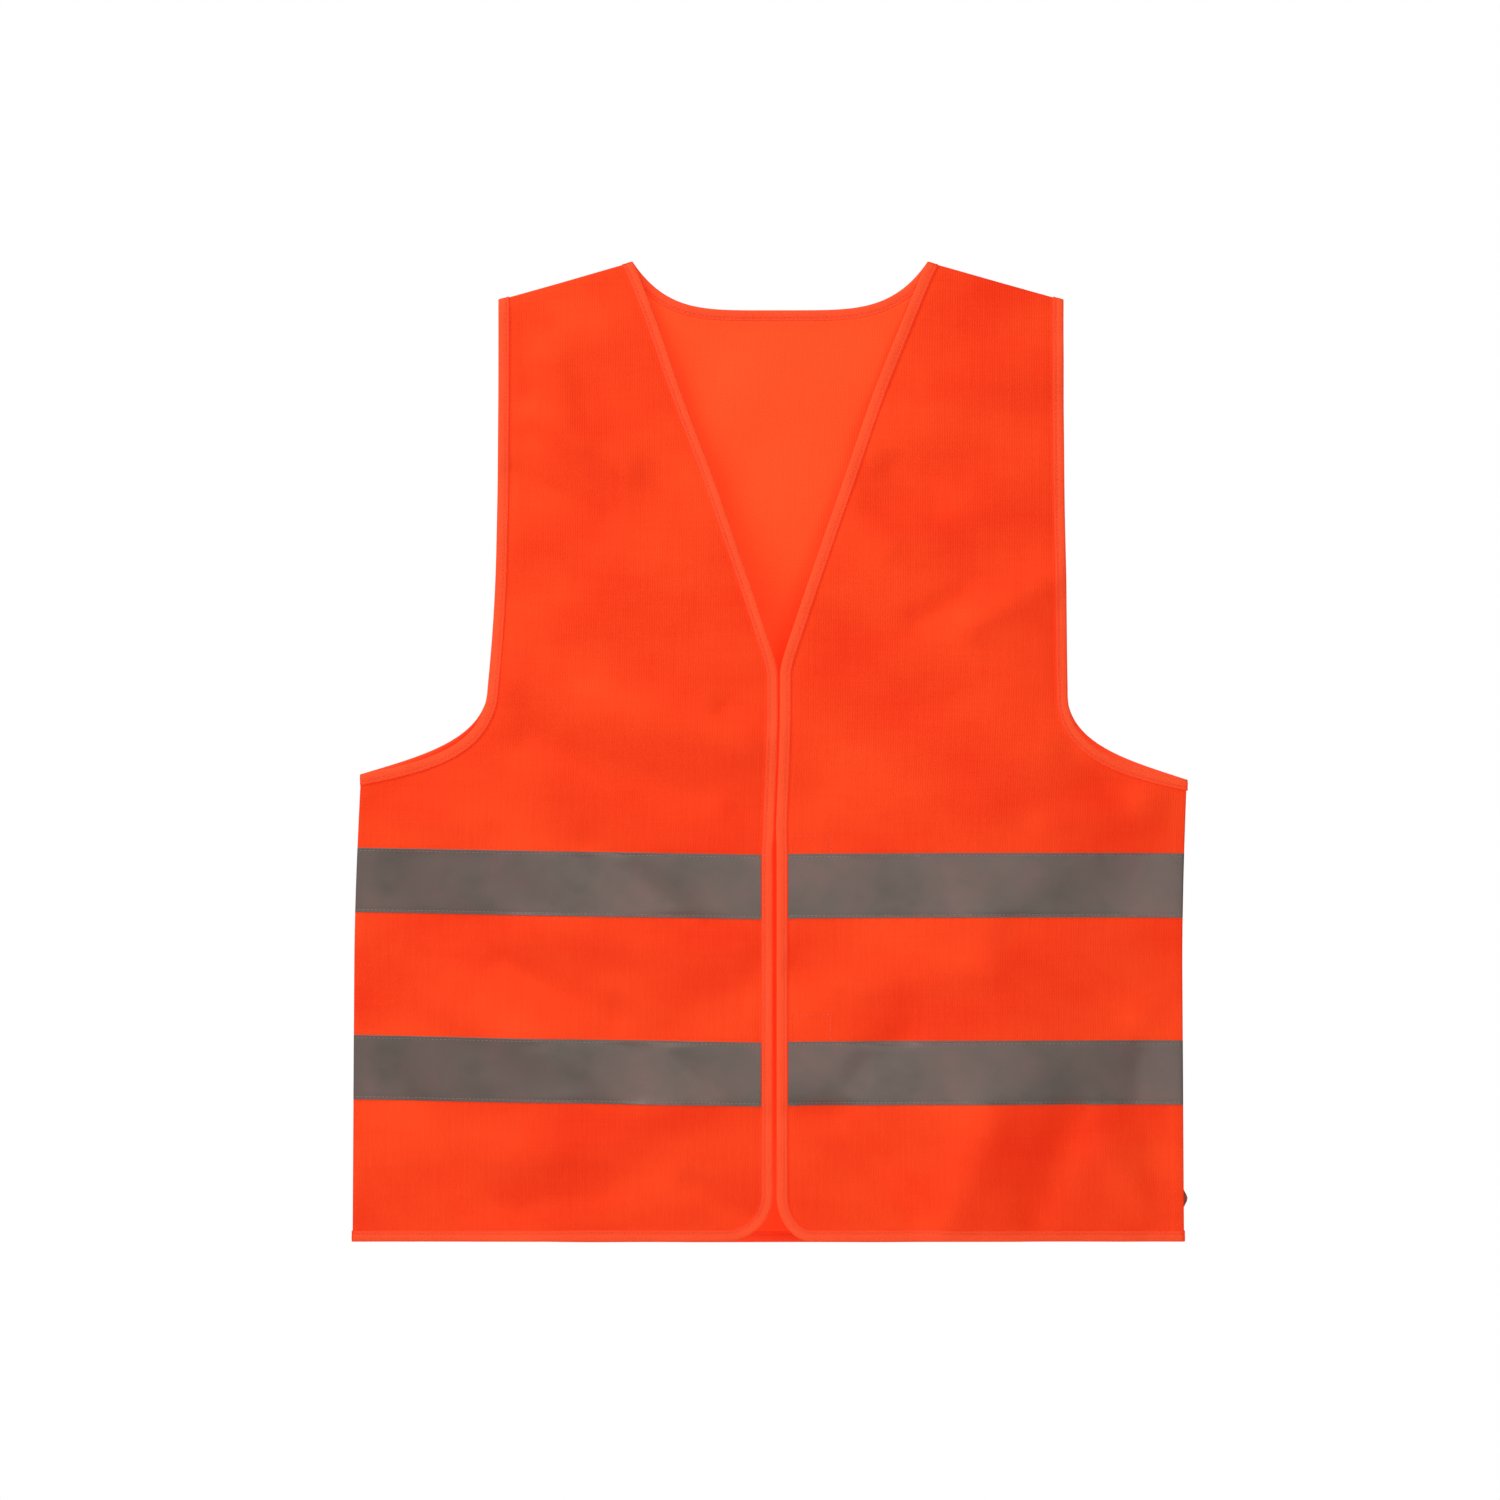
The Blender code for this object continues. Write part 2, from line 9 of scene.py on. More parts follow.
import bmesh
import bpy
import numpy as np
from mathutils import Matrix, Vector


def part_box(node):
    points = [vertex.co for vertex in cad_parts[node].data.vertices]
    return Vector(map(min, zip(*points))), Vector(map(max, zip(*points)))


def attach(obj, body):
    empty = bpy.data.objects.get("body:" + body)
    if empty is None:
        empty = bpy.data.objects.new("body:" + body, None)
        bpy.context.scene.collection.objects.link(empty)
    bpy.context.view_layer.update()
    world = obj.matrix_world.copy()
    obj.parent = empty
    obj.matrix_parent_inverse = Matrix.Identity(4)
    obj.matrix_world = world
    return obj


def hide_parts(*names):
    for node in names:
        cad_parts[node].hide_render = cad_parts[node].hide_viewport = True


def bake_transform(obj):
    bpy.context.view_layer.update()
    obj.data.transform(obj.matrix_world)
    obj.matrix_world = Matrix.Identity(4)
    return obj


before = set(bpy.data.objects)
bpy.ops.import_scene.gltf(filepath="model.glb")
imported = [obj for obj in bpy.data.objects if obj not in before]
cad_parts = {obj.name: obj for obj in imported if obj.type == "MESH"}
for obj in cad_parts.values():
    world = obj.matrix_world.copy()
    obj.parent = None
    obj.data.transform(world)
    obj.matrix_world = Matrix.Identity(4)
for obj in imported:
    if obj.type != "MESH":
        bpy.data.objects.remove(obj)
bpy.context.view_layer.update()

# Camera and studio.
LENS = 250.0
SENSOR = 36.0
VIEW_WIDTH = 1.1625                  # width of the view at the vest
AIM = (-0.019, 0.0, -0.378)
FLOOR_Z = -1.25
FLOOR_HALF = 1.6
ROOM_GLOW = 0.13                     # how much the white room lights the vest

# Outline of the flat cloths, close to the one in the frame.
NECK_HALF = 0.114
NECK_DROP = 0.037
NECK_POWER = 4.5
SHOULDER_TIP = (0.219, -0.0295)
ARM_BENDS = ((0.2188, -0.130), (0.2193, -0.245))
ARM_FOOT = (0.2245, -0.330)
UNDERARM = (0.3200, -0.3990)
ARM_BEND_FRONT = ((0.2245, -0.377), (0.271, -0.3885))
ARM_BEND_BACK = ((0.2250, -0.372), (0.2745, -0.3845))
HEM_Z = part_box("hem_binding")[0].z
SIDE_X = 0.3222
V_BENDS = ((0.104, -0.014), (0.0225, -0.244))
V_END = (0.0062, -0.297)
V_TURN = ((0.0031, -0.307), (0.0015, -0.313))
V_FOOT_Z = -0.320
FRONT_EDGE_X = 0.0015
CORNERS = {1: (0.027, 0.036), -1: (0.035, 0.037)}       # left front, right front
FOLD_HEM_X = 0.160

# How far front and back hang apart.
EDGE_DEPTH = 0.0018
HEM_DEPTH = 0.038
LENS_START = 0.165
SEAM_DEPTH = 0.0012                  # half the distance where bindings cross a seam
SEAM_ROUND = 0.0015                  # the cloths roll together this close to a seam
SEAM_EASE = 0.006
FOLD_EASE = 0.008                    # the cloths draw together softly from the fold line
TURN_RISE = 0.4                      # how far a binding rises where it turns over a seam
SLOPE = (HEM_DEPTH - EDGE_DEPTH) / -HEM_Z
FRONT = -1
BACK = 1

# Layers.
CLOTH = 0.0004
TAPE = 0.00025
TAPE_OFF = CLOTH / 2 + TAPE / 2 + 0.00006
TAPE_STITCH = 0.0022                 # from the tape's edge
TAPE_CLEAR = 0.0003                  # from the front binding to the tape
SEAM_STITCH_TRIM = 0.003             # rows of stitches end this far from a tape's ends
BINDING_WIDTH = 0.0086
BINDING_STITCH = 0.0060              # from the binding's outer edge
EDGE_INSET = 0.001                   # the cut edge lies this deep in its binding
CELL = 0.0046
PANEL_WIDTH = 0.32                   # sets how many columns every panel and tape has
TAPE_EDGE_ROWS = 5                   # rows of the panels on each side of a tape's edge
TAPE_EDGE_STEP = 0.0014
EDGE_STEPS = (0.0, 0.0004, 0.0009, 0.0016, 0.003, 0.0055, 0.008, 0.0094, 0.0106, 0.0125, 0.016)
RING_STEP = 0.003
STITCH_PITCH = 0.0032
CALM_HALF_X = 0.042                  # the fronts lie flat where the tabs close them
CALM_FADE = 0.030
CALM_SHARE = 0.06                    # what is left of their folds there
SWELLS = 9
SWELL_SEEDS = {FRONT: 7, BACK: 11}
SWELL_HEIGHT = 0.0008
PUCKER_HEIGHT = 0.00022              # ripples beside a tape's stitches
PUCKER_REACH = 0.007
TAPE_CALM = 0.35                     # part of the folds that a tape flattens
TAPE_EASE = 0.006
HEM_CURL = 0.0042                    # the hems turn inwards by this much
HEM_CURL_REACH = 0.020
LABEL_PEEP = 0.0028                  # how far the label's fold stands out of the side seam
ALLOWANCE_START = 0.0022             # where its strip starts and ends inside the seam
ALLOWANCE_END = 0.009
ALLOWANCE_HALF = 0.00035             # half the thickness of its two layers
ALLOWANCE_TRIM = 0.010               # from its ends to the ends of the seam
HOOK_PITCH = 0.0016
STRAP_THICK = 0.0004
PILE_THICK = 0.0005
TURN_SHARES = (0.3, 0.75)            # part of the way from base to tab where a strap turns

# Soft folds of the fronts: from x, z to x, z, then half width and height.
FRONT_FOLDS = (
    (0.190, -0.020, 0.120, -0.020, 0.030, -0.0050),
    (-0.300, -0.640, -0.200, -0.740, 0.020, -0.0060),
    (0.300, -0.620, 0.318, -0.740, 0.022, -0.0060),
    (-0.140, -0.450, -0.020, -0.540, 0.016, -0.0052),
    (-0.150, -0.640, -0.090, -0.700, 0.016, -0.0040),
    (-0.212, -0.060, -0.196, -0.130, 0.014, -0.0041),
    (-0.176, -0.070, -0.165, -0.120, 0.012, 0.0030),
    (-0.190, -0.118, -0.120, -0.160, 0.014, 0.0059),
    (-0.205, -0.170, -0.140, -0.200, 0.015, -0.0051),
    (-0.140, -0.150, -0.125, -0.165, 0.011, -0.0027),
    (-0.200, -0.322, -0.030, -0.372, 0.019, 0.0068),
    (-0.190, -0.372, -0.060, -0.412, 0.017, -0.0059),
    (-0.040, -0.345, -0.014, -0.356, 0.009, -0.0046),
    (-0.300, -0.425, -0.230, -0.438, 0.015, 0.0041),
    (-0.030, -0.424, -0.006, -0.438, 0.007, -0.0030),
    (-0.185, -0.522, -0.030, -0.535, 0.015, 0.0054),
    (-0.205, -0.545, -0.125, -0.580, 0.014, -0.0068),
    (-0.250, -0.580, -0.180, -0.612, 0.014, 0.0046),
    (-0.110, -0.590, -0.040, -0.645, 0.015, -0.0057),
    (-0.090, -0.655, -0.020, -0.640, 0.015, 0.0041),
    (-0.230, -0.735, -0.130, -0.720, 0.014, -0.0043),
    (-0.064, -0.715, -0.018, -0.742, 0.010, -0.0054),
    (-0.316, -0.700, -0.286, -0.744, 0.011, -0.0054),
    (-0.270, -0.690, -0.120, -0.690, 0.018, 0.0041),
    (0.125, -0.034, 0.210, -0.052, 0.015, -0.0043),
    (0.120, -0.082, 0.205, -0.094, 0.016, 0.0030),
    (0.090, -0.160, 0.120, -0.190, 0.012, -0.0046),
    (0.060, -0.190, 0.085, -0.220, 0.012, 0.0035),
    (0.108, -0.278, 0.140, -0.262, 0.011, -0.0049),
    (0.150, -0.280, 0.212, -0.246, 0.014, 0.0059),
    (0.230, -0.380, 0.270, -0.410, 0.012, -0.0041),
    (0.060, -0.410, 0.160, -0.420, 0.018, 0.0032),
    (0.215, -0.432, 0.300, -0.420, 0.014, 0.0041),
    (0.015, -0.545, 0.030, -0.566, 0.010, -0.0041),
    (0.060, -0.560, 0.170, -0.545, 0.016, 0.0046),
    (0.190, -0.520, 0.270, -0.575, 0.015, -0.0041),
    (0.030, -0.655, 0.100, -0.600, 0.016, -0.0062),
    (0.050, -0.665, 0.118, -0.735, 0.015, -0.0078),
    (0.205, -0.738, 0.235, -0.660, 0.015, -0.0081),
    (0.140, -0.740, 0.172, -0.668, 0.019, 0.0078),
    (0.262, -0.690, 0.300, -0.735, 0.013, 0.0046),
)
BACK_FOLDS = (
    (-0.180, -0.080, -0.060, -0.170, 0.017, 0.0040),
    (0.190, -0.090, 0.080, -0.200, 0.017, 0.0042),
    (-0.170, -0.250, -0.060, -0.210, 0.016, -0.0030),
    (-0.120, -0.300, 0.060, -0.330, 0.018, -0.0036),
    (0.040, -0.270, 0.180, -0.300, 0.018, 0.0034),
    (-0.240, -0.420, -0.120, -0.390, 0.016, 0.0036),
    (0.250, -0.430, 0.120, -0.380, 0.016, -0.0034),
    (-0.060, -0.560, 0.080, -0.540, 0.016, 0.0034),
    (-0.260, -0.530, -0.150, -0.580, 0.015, -0.0036),
    (-0.200, -0.735, -0.150, -0.665, 0.017, 0.0056),
    (-0.060, -0.740, -0.030, -0.670, 0.016, -0.0046),
    (0.060, -0.740, 0.090, -0.660, 0.017, 0.0052),
    (0.190, -0.740, 0.180, -0.665, 0.016, -0.0050),
)


def srgb(red, green, blue):
    """A colour given as it looks on screen, as linear values."""
    parts = [c / 255.0 for c in (red, green, blue)]
    return [((c + 0.055) / 1.055) ** 2.4 if c > 0.04 else c / 12.92 for c in parts] + [1.0]


# ------------------------------------------------------------ camera and studio

def place_camera():
    """Straight in front of the vest, far enough away to flatten it."""
    data = bpy.data.cameras.new("camera")
    data.lens = LENS
    data.sensor_width = SENSOR
    data.clip_end = 50.0
    camera = bpy.data.objects.new("camera", data)
    distance = VIEW_WIDTH * LENS / SENSOR
    camera.location = (AIM[0], AIM[1] - distance, AIM[2])
    camera.rotation_euler = (math.pi / 2, 0.0, 0.0)
    bpy.context.scene.collection.objects.link(camera)
    bpy.context.scene.camera = camera


def add_light(name, place, size, power):
    """A large soft light that faces the vest."""
    data = bpy.data.lights.new(name, "AREA")
    data.shape = "DISK"
    data.size = size
    data.energy = power
    lamp = bpy.data.objects.new(name, data)
    lamp.location = place
    aim = Vector((0.0, 0.0, AIM[2])) - Vector(place)
    lamp.rotation_euler = aim.to_track_quat("-Z", "Y").to_euler()
    bpy.context.scene.collection.objects.link(lamp)


def build_studio():
    """Pale floor, white surroundings and three soft lights."""
    bpy.ops.mesh.primitive_plane_add(size=2 * FLOOR_HALF, location=(0.0, 0.0, FLOOR_Z))
    floor = bpy.context.object
    floor.name = "studio_floor"
    paint = bpy.data.materials.new("pale_floor")
    paint.use_nodes = True
    shader = paint.node_tree.nodes["Principled BSDF"]
    shader.inputs["Base Color"].default_value = (0.9, 0.9, 0.9, 1.0)
    shader.inputs["Roughness"].default_value = 0.8
    floor.data.materials.append(paint)
    add_light("key_light", (-1.55, -1.1, 1.4), 1.7, 54.0)
    add_light("fill_light", (0.48, -1.75, -0.2), 1.0, 12.0)
    add_light("back_light", (0.6, 2.8, 0.8), 2.0, 60.0)
    world = bpy.data.worlds.new("white_room")
    bpy.context.scene.world = world
    world.use_nodes = True
    tree = world.node_tree
    sky = tree.nodes["Background"]
    sky.inputs["Color"].default_value = (1.0, 1.0, 1.0, 1.0)
    seen = tree.nodes.new("ShaderNodeLightPath")
    strength = tree.nodes.new("ShaderNodeMapRange")
    strength.inputs["To Min"].default_value = ROOM_GLOW
    strength.inputs["To Max"].default_value = 1.0
    tree.links.new(seen.outputs["Is Camera Ray"], strength.inputs["Value"])
    tree.links.new(strength.outputs["Result"], sky.inputs["Strength"])
    bpy.context.scene.view_settings.view_transform = "Standard"


# ------------------------------------------------------------------- materials

class Wire:
    """A shader value.  Sums on it add their Math nodes, and node() adds any other."""

    def __init__(self, tree, socket=None):
        self.tree = tree
        self.socket = socket

    def node(self, kind, settings=None, inputs=None, output=0):
        """A new node with its settings and the values or links of its sockets."""
        made = self.tree.nodes.new("ShaderNode" + kind)
        for name, value in (settings or {}).items():
            setattr(made, name, value)
        for name, value in (inputs or {}).items():
            if isinstance(value, Wire):
                self.tree.links.new(value.socket, made.inputs[name])
            else:
                made.inputs[name].default_value = value
        return Wire(self.tree, made.outputs[output])

    def maths(self, operation, first, second=0.0):
        return self.node("Math", {"operation": operation}, {0: first, 1: second})

    def __add__(self, other):
        return self.maths("ADD", self, other)

    def __radd__(self, other):
        return self.maths("ADD", other, self)

    def __sub__(self, other):
        return self.maths("SUBTRACT", self, other)

    def __rsub__(self, other):
        return self.maths("SUBTRACT", other, self)

    def __mul__(self, other):
        return self.maths("MULTIPLY", self, other)

    def __rmul__(self, other):
        return self.maths("MULTIPLY", other, self)

    def __abs__(self):
        return self.maths("ABSOLUTE", self)

    def __gt__(self, other):
        return self.maths("GREATER_THAN", self, other)

    def wave(self, pitch):
        """From -1 to 1 and back over each pitch."""
        return self.maths("SINE", self * (2 * math.pi / pitch))

    def noise(self, place, scale, detail=2.0):
        return self.node("TexNoise", {}, {"Vector": place, "Scale": scale, "Detail": detail})

    def mix(self, share, first, second):
        """From the first colour to the second."""
        return self.node("Mix", {"data_type": "RGBA"},
                         {0: share, 6: first, 7: second}, output=2)

    def pattern(self, across=1.0, along=1.0):
        """Flat place on the cloth, stretched."""
        flat = self.node("UVMap", {"uv_map": "pattern"})
        return self.node("Mapping", {}, {"Vector": flat, "Scale": (across, along, 1.0)})

    def split(self, place, axis):
        return self.node("SeparateXYZ", {}, {0: place}, output=axis)

    def bump(self, height, distance):
        return self.node("Bump", {}, {"Height": height, "Distance": distance})


def material(name, build, **constants):
    """A named material: build gives its varying inputs, and the rest are constants."""
    made = bpy.data.materials.new(name)
    made.use_nodes = True
    tree = made.node_tree
    shader = tree.nodes["Principled BSDF"]
    for socket, value in constants.items():
        shader.inputs[socket.replace("_", " ")].default_value = value
    for socket, wire in build(Wire(tree)).items():
        tree.links.new(wire.socket, shader.inputs[socket])
    return made


def knit(light, dark):
    """Warp knit: fine ribs down the cloth, each a chain of small stitches, over broad blotches
    of painted fold shade.
    """
    def build(at):
        flat = at.pattern()
        across = at.split(flat, 0)
        along = at.split(flat, 1)
        sway = at.noise(flat, 60.0) * 0.0009
        rib = (across + sway).wave(0.0019)
        chain = (along + rib * 0.0002).wave(0.0011)
        streak = at.noise(at.pattern(1.0, 0.035), 420.0, 3.0)
        course = at.noise(at.pattern(0.04, 1.0), 380.0, 2.0)
        patch = at.noise(at.pattern(1.0, 1.5), 8.5, 3.0)
        # light and dark are the knit lit and in the shade of a fold; patch blends between them
        # in broad blotches as painted fold shade, while streak, rib and course are the knit's
        # own tone.
        shade = streak * 0.3 + rib * 0.02 + course * 0.2 + patch * 1.9 - 0.7
        colour = at.mix(shade, light, dark)
        height = rib * 0.6 + chain * 0.25 + streak * 0.5
        return {"Base Color": colour, "Normal": at.bump(height, 0.00010),
                "Roughness": 0.74 + streak * 0.16}
    return build


def make_finishes():
    """Every material of the vest."""
    made = {}
    # Each knit glows with a constant red-orange emission though it is no lamp. This is painted
    # light that stands in for fluorescence and keeps shaded folds bright and red, and the back
    # knit glows more to lift the shade inside the V.
    for name, light, dark, glow, strength in (
            ("front_knit", srgb(208, 76, 30), srgb(186, 50, 16), srgb(255, 25, 5), 0.45),
            ("back_knit", srgb(205, 76, 32), srgb(198, 70, 29), srgb(255, 58, 26), 0.60)):
        made[name] = material(name, knit(light, dark), Sheen_Weight=0.02, Sheen_Roughness=0.5,
                              Emission_Color=glow, Emission_Strength=strength,
                              Specular_IOR_Level=0.12)

    def ribbon(at):
        flat = at.pattern()
        cross = at.split(flat, 0).wave(0.0009)
        down = at.split(flat, 1).wave(0.0012)
        fleck = at.noise(flat, 900.0)
        shade = at.noise(flat, 35.0, 3.0) * 0.9 + cross * 0.08 + fleck * 0.2 - 0.15
        colour = at.mix(shade, srgb(212, 86, 42), srgb(200, 72, 33))
        # Painted shadow lines: seam darkens the ribbon along its stitch groove and along its cut
        # edges, where it dips into the stitches and meets the panel.
        half = BINDING_WIDTH * 1.04
        from_cut = half - abs(at.split(flat, 1) - half)
        groove = 1.0 - abs(from_cut - (BINDING_WIDTH - BINDING_STITCH)) * 900.0
        cut = 1.0 - from_cut * 620.0
        seam = at.maths("MAXIMUM", at.maths("MAXIMUM", groove, cut), 0.0)
        colour = at.mix(seam * 0.55, colour, srgb(196, 36, 10))
        height = cross * 0.5 + down * 0.3 + fleck * 0.4
        return {"Base Color": colour, "Normal": at.bump(height, 0.00016),
                "Roughness": 0.62 + fleck * 0.2}
    # The binding ribbon glows with a constant red-orange emission though it is no lamp: painted
    # light that keeps it bright and red in shade.
    made["ribbon"] = material("binding_ribbon", ribbon, Sheen_Weight=0.03,
                              Emission_Color=srgb(255, 44, 16), Emission_Strength=0.46,
                              Specular_IOR_Level=0.2)

    def reflective(at):
        flat = at.pattern()
        cloud = at.noise(flat, 16.0, 4.0)
        mottle = at.noise(at.pattern(1.0, 1.6), 55.0, 4.0)
        beads = at.noise(flat, 2600.0, 1.0)
        weave = at.split(flat, 0).wave(0.0008) * at.split(flat, 1).wave(0.0008)
        base = at.mix(cloud * 4.4 - 1.7, srgb(125, 101, 96), srgb(102, 93, 86))
        base = at.mix(mottle * 2.4 - 0.9, base, srgb(114, 101, 93))
        edge = abs(at.split(flat, 1)) > 0.0236
        base = at.mix(edge * 0.7, base, srgb(118, 104, 96))
        base = at.mix(beads * 0.25, base, srgb(126, 112, 106))
        height = beads * 0.5 + weave * 0.25 + mottle * 0.8
        return {"Base Color": base, "Normal": at.bump(height, 0.00009),
                "Roughness": 0.40 + beads * 0.22 + mottle * 0.08,
                "Metallic": 0.30 + beads * 0.25}
    made["reflective"] = material("reflective_tape", reflective, Specular_IOR_Level=0.4)

    def loops(at):
        flat = at.pattern()
        fuzz = at.noise(flat, 1400.0, 4.0)
        tuft = at.noise(flat, 320.0, 3.0)
        colour = at.mix(fuzz * 0.7 + tuft * 0.4 - 0.1, srgb(246, 84, 34), srgb(214, 52, 16))
        return {"Base Color": colour, "Normal": at.bump(fuzz + tuft, 0.0003),
                "Roughness": 0.7 + fuzz * 0.25}
    made["loops"] = material("loop_pile", loops, Sheen_Weight=0.1)

    def hooks(at):
        place = at.node("TexCoord", output=3)
        fleck = at.noise(place, 700.0)
        colour = at.mix(fleck, srgb(236, 78, 34), srgb(216, 54, 18))
        return {"Base Color": colour, "Roughness": 0.38 + fleck * 0.15,
                "Normal": at.bump(fleck, 0.00005)}
    made["hooks"] = material("hook_plastic", hooks)

    def satin(at):
        flat = at.pattern()
        weft = at.split(flat, 1).wave(0.0004)
        warp = at.split(flat, 0).wave(0.0006)
        crease = at.noise(flat, 120.0, 3.0)
        # The satin colours are dark, the tone of the label's fold peeping out in shade: painted
        # shade. crease darkens them further as painted crease shade.
        colour = at.mix(crease, srgb(168, 74, 50), srgb(140, 56, 40))
        return {"Base Color": colour, "Normal": at.bump(weft + warp * 0.5 + crease, 0.00008),
                "Roughness": 0.38 + crease * 0.2}
    made["satin"] = material("label_satin", satin, Sheen_Weight=0.1)

    def thread(light, dark):
        def build(at):
            place = at.node("TexCoord", output=3)
            twist = at.noise(place, 1500.0)
            tone = at.noise(place, 30.0)
            return {"Base Color": at.mix(twist * 0.6 + tone * 0.4, light, dark),
                    "Normal": at.bump(twist, 0.0001), "Roughness": 0.5 + twist * 0.2}
        return build
    made["orange_thread"] = material(
        "orange_thread", thread(srgb(255, 100, 58), srgb(238, 66, 30)), Sheen_Weight=0.1)
    made["grey_thread"] = material(
        "grey_thread", thread(srgb(150, 138, 130), srgb(118, 106, 100)), Sheen_Weight=0.1)
    return made


# ------------------------------------------------------------- flat outlines

def smooth(t):
    """From 0 to 1, level at both ends."""
    t = np.clip(t, 0.0, 1.0)
    return t * t * (3 - 2 * t)


def bezier(p0, p1, p2, p3, steps=80):
    """Points along a curve from p0 to p3, with handles p1 and p2."""
    t = np.linspace(0.0, 1.0, steps + 1)[:, None]
    s = 1 - t
    return (s ** 3 * np.array(p0) + 3 * s * s * t * np.array(p1)
            + 3 * s * t * t * np.array(p2) + t ** 3 * np.array(p3))


def armhole_line(bends):
    """Armhole edge of the left side, from the shoulder tip to the underarm."""
    upper = bezier(SHOULDER_TIP, ARM_BENDS[0], ARM_BENDS[1], ARM_FOOT, 60)[:-1]
    return np.vstack([upper, bezier(ARM_FOOT, bends[0], bends[1], UNDERARM)])


def front_line(hand):
    """Free edge of a front, at +X: the V, the front edge, the corner and the hem."""
    wide, tall = CORNERS[hand]
    v = bezier((NECK_HALF, 0.0), V_BENDS[0], V_BENDS[1], V_END)[:-1]
    v = np.vstack([v, bezier(V_END, V_TURN[0], V_TURN[1], (FRONT_EDGE_X, V_FOOT_Z), 12)])
    centre = np.array([FRONT_EDGE_X + wide, HEM_Z + tall])
    turn = np.linspace(0.0, math.pi / 2, 30)[:, None]
    corner = centre - np.hstack([wide * np.cos(turn), tall * np.sin(turn)])
    return np.vstack([v, corner, [(SIDE_X, HEM_Z)]])


def neck_line():
    """Back neck edge, from the left neck point to the right one."""
    part = np.cos(np.linspace(0.0, math.pi, 161))
    return np.stack([NECK_HALF * part, -NECK_DROP * (1 - np.abs(part) ** NECK_POWER)], 1)


def walk(line, step, inset=0.0, hand=1):
    """Evenly spaced points along a line, and the directions into the cloth."""
    lengths = np.concatenate([[0.0], np.cumsum(np.linalg.norm(np.diff(line, axis=0), axis=1))])
    count = max(2, int(round(lengths[-1] / step)) + 1)
    at = np.linspace(0.0, lengths[-1], count)
    points = np.stack([np.interp(at, lengths, line[:, k]) for k in (0, 1)], 1)
    along = np.gradient(points, axis=0)
    along /= np.linalg.norm(along, axis=1)[:, None]
    inward = np.stack([-along[:, 1], along[:, 0]], 1) * hand
    return points + inward * inset, inward


def side_x(z):
    """Side edge of the cloth."""
    return SIDE_X + (UNDERARM[0] - SIDE_X) * (z - HEM_Z) / (UNDERARM[1] - HEM_Z)


def fold_x(z):
    """Fold line of a front."""
    return NECK_HALF + (FOLD_HEM_X - NECK_HALF) * z / HEM_Z


def to_segment(x, z, a, b):
    """Distance to the straight line from a to b."""
    ax, az = a
    dx, dz = b[0] - ax, b[1] - az
    t = np.clip(((x - ax) * dx + (z - az) * dz) / (dx * dx + dz * dz), 0.0, 1.0)
    return np.hypot(x - ax - t * dx, z - az - t * dz)


def to_line(x, z, line):
    """Distance to a line of many points."""
    flat = np.stack([np.ravel(x), np.ravel(z)], 1)
    best = np.full(len(flat), 1.0)
    for a, b in zip(line[:-1], line[1:]):
        best = np.minimum(best, to_segment(flat[:, 0], flat[:, 1], a, b))
    return best.reshape(np.shape(x))


def to_seam(x, z):
    """Distance to the nearest shoulder or side seam."""
    x = np.abs(x)
    shoulder = to_segment(x, z, (NECK_HALF, 0.0), SHOULDER_TIP)
    return np.minimum(shoulder, to_segment(x, z, UNDERARM, (SIDE_X, HEM_Z)))


# --------------------------------------------------------------- how it hangs

TAPE_BOXES = {level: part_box(level + "_back_tape") for level in ("upper", "lower")}
BASE_BOXES = {level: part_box(level + "_tab_base") for level in ("upper", "lower")}
SIDE_TAPER = SLOPE * -SHOULDER_TIP[1] / (SHOULDER_TIP[0] - fold_x(SHOULDER_TIP[1]))


def half_opening(x, z, rolled):
    """Half the distance between front and back; rolled cloths close at the seams."""
    ax = np.abs(x)
    beyond = ax - fold_x(z)
    beyond = (beyond + np.sqrt(beyond ** 2 + FOLD_EASE ** 2)) / 2
    opening = np.maximum(0.0, -SLOPE * z - SIDE_TAPER * beyond)
    closing = 1 - smooth((ax - LENS_START) / (SIDE_X - LENS_START))
    near = to_seam(x, z)
    edge = SEAM_DEPTH + (EDGE_DEPTH - SEAM_DEPTH) * smooth(near / SEAM_EASE)
    if rolled:
        reach = 1 - np.clip(near / SEAM_ROUND, 0.0, 1.0)
        edge = edge - (SEAM_DEPTH - CLOTH / 2 - 0.00005) * (1 - np.sqrt(1 - reach ** 2))
    return edge + opening * closing


def swells(x, z, face):
    """Low waves all over a cloth, and wider ones above its hem."""
    out = np.zeros(np.shape(x))
    rng = np.random.default_rng(SWELL_SEEDS[face])
    for _ in range(SWELLS):
        lean = rng.uniform(-0.9, 0.9)
        pitch = rng.uniform(0.055, 0.15)
        phase = rng.uniform(0.0, 6.28)
        across = x * math.sin(lean) + z * math.cos(lean)
        fade = 0.5 + 0.5 * np.sin(x * rng.uniform(9, 21) + z * rng.uniform(6, 16) + phase * 2)
        out += SWELL_HEIGHT * fade * np.sin(across * 2 * math.pi / pitch + phase)
    low = smooth((-z - 0.58) / 0.18)
    return out + 0.0018 * low * np.sin(x * 2 * math.pi / 0.118 + 0.8 * face)


def past_box(x, z, box):
    """How far a place lies outside a box sideways and up or down, whichever is more."""
    dx = np.abs(x - (box[0].x + box[1].x) / 2) - (box[1].x - box[0].x) / 2
    dz = np.abs(z - (box[0].z + box[1].z) / 2) - (box[1].z - box[0].z) / 2
    return np.maximum(dx, dz)


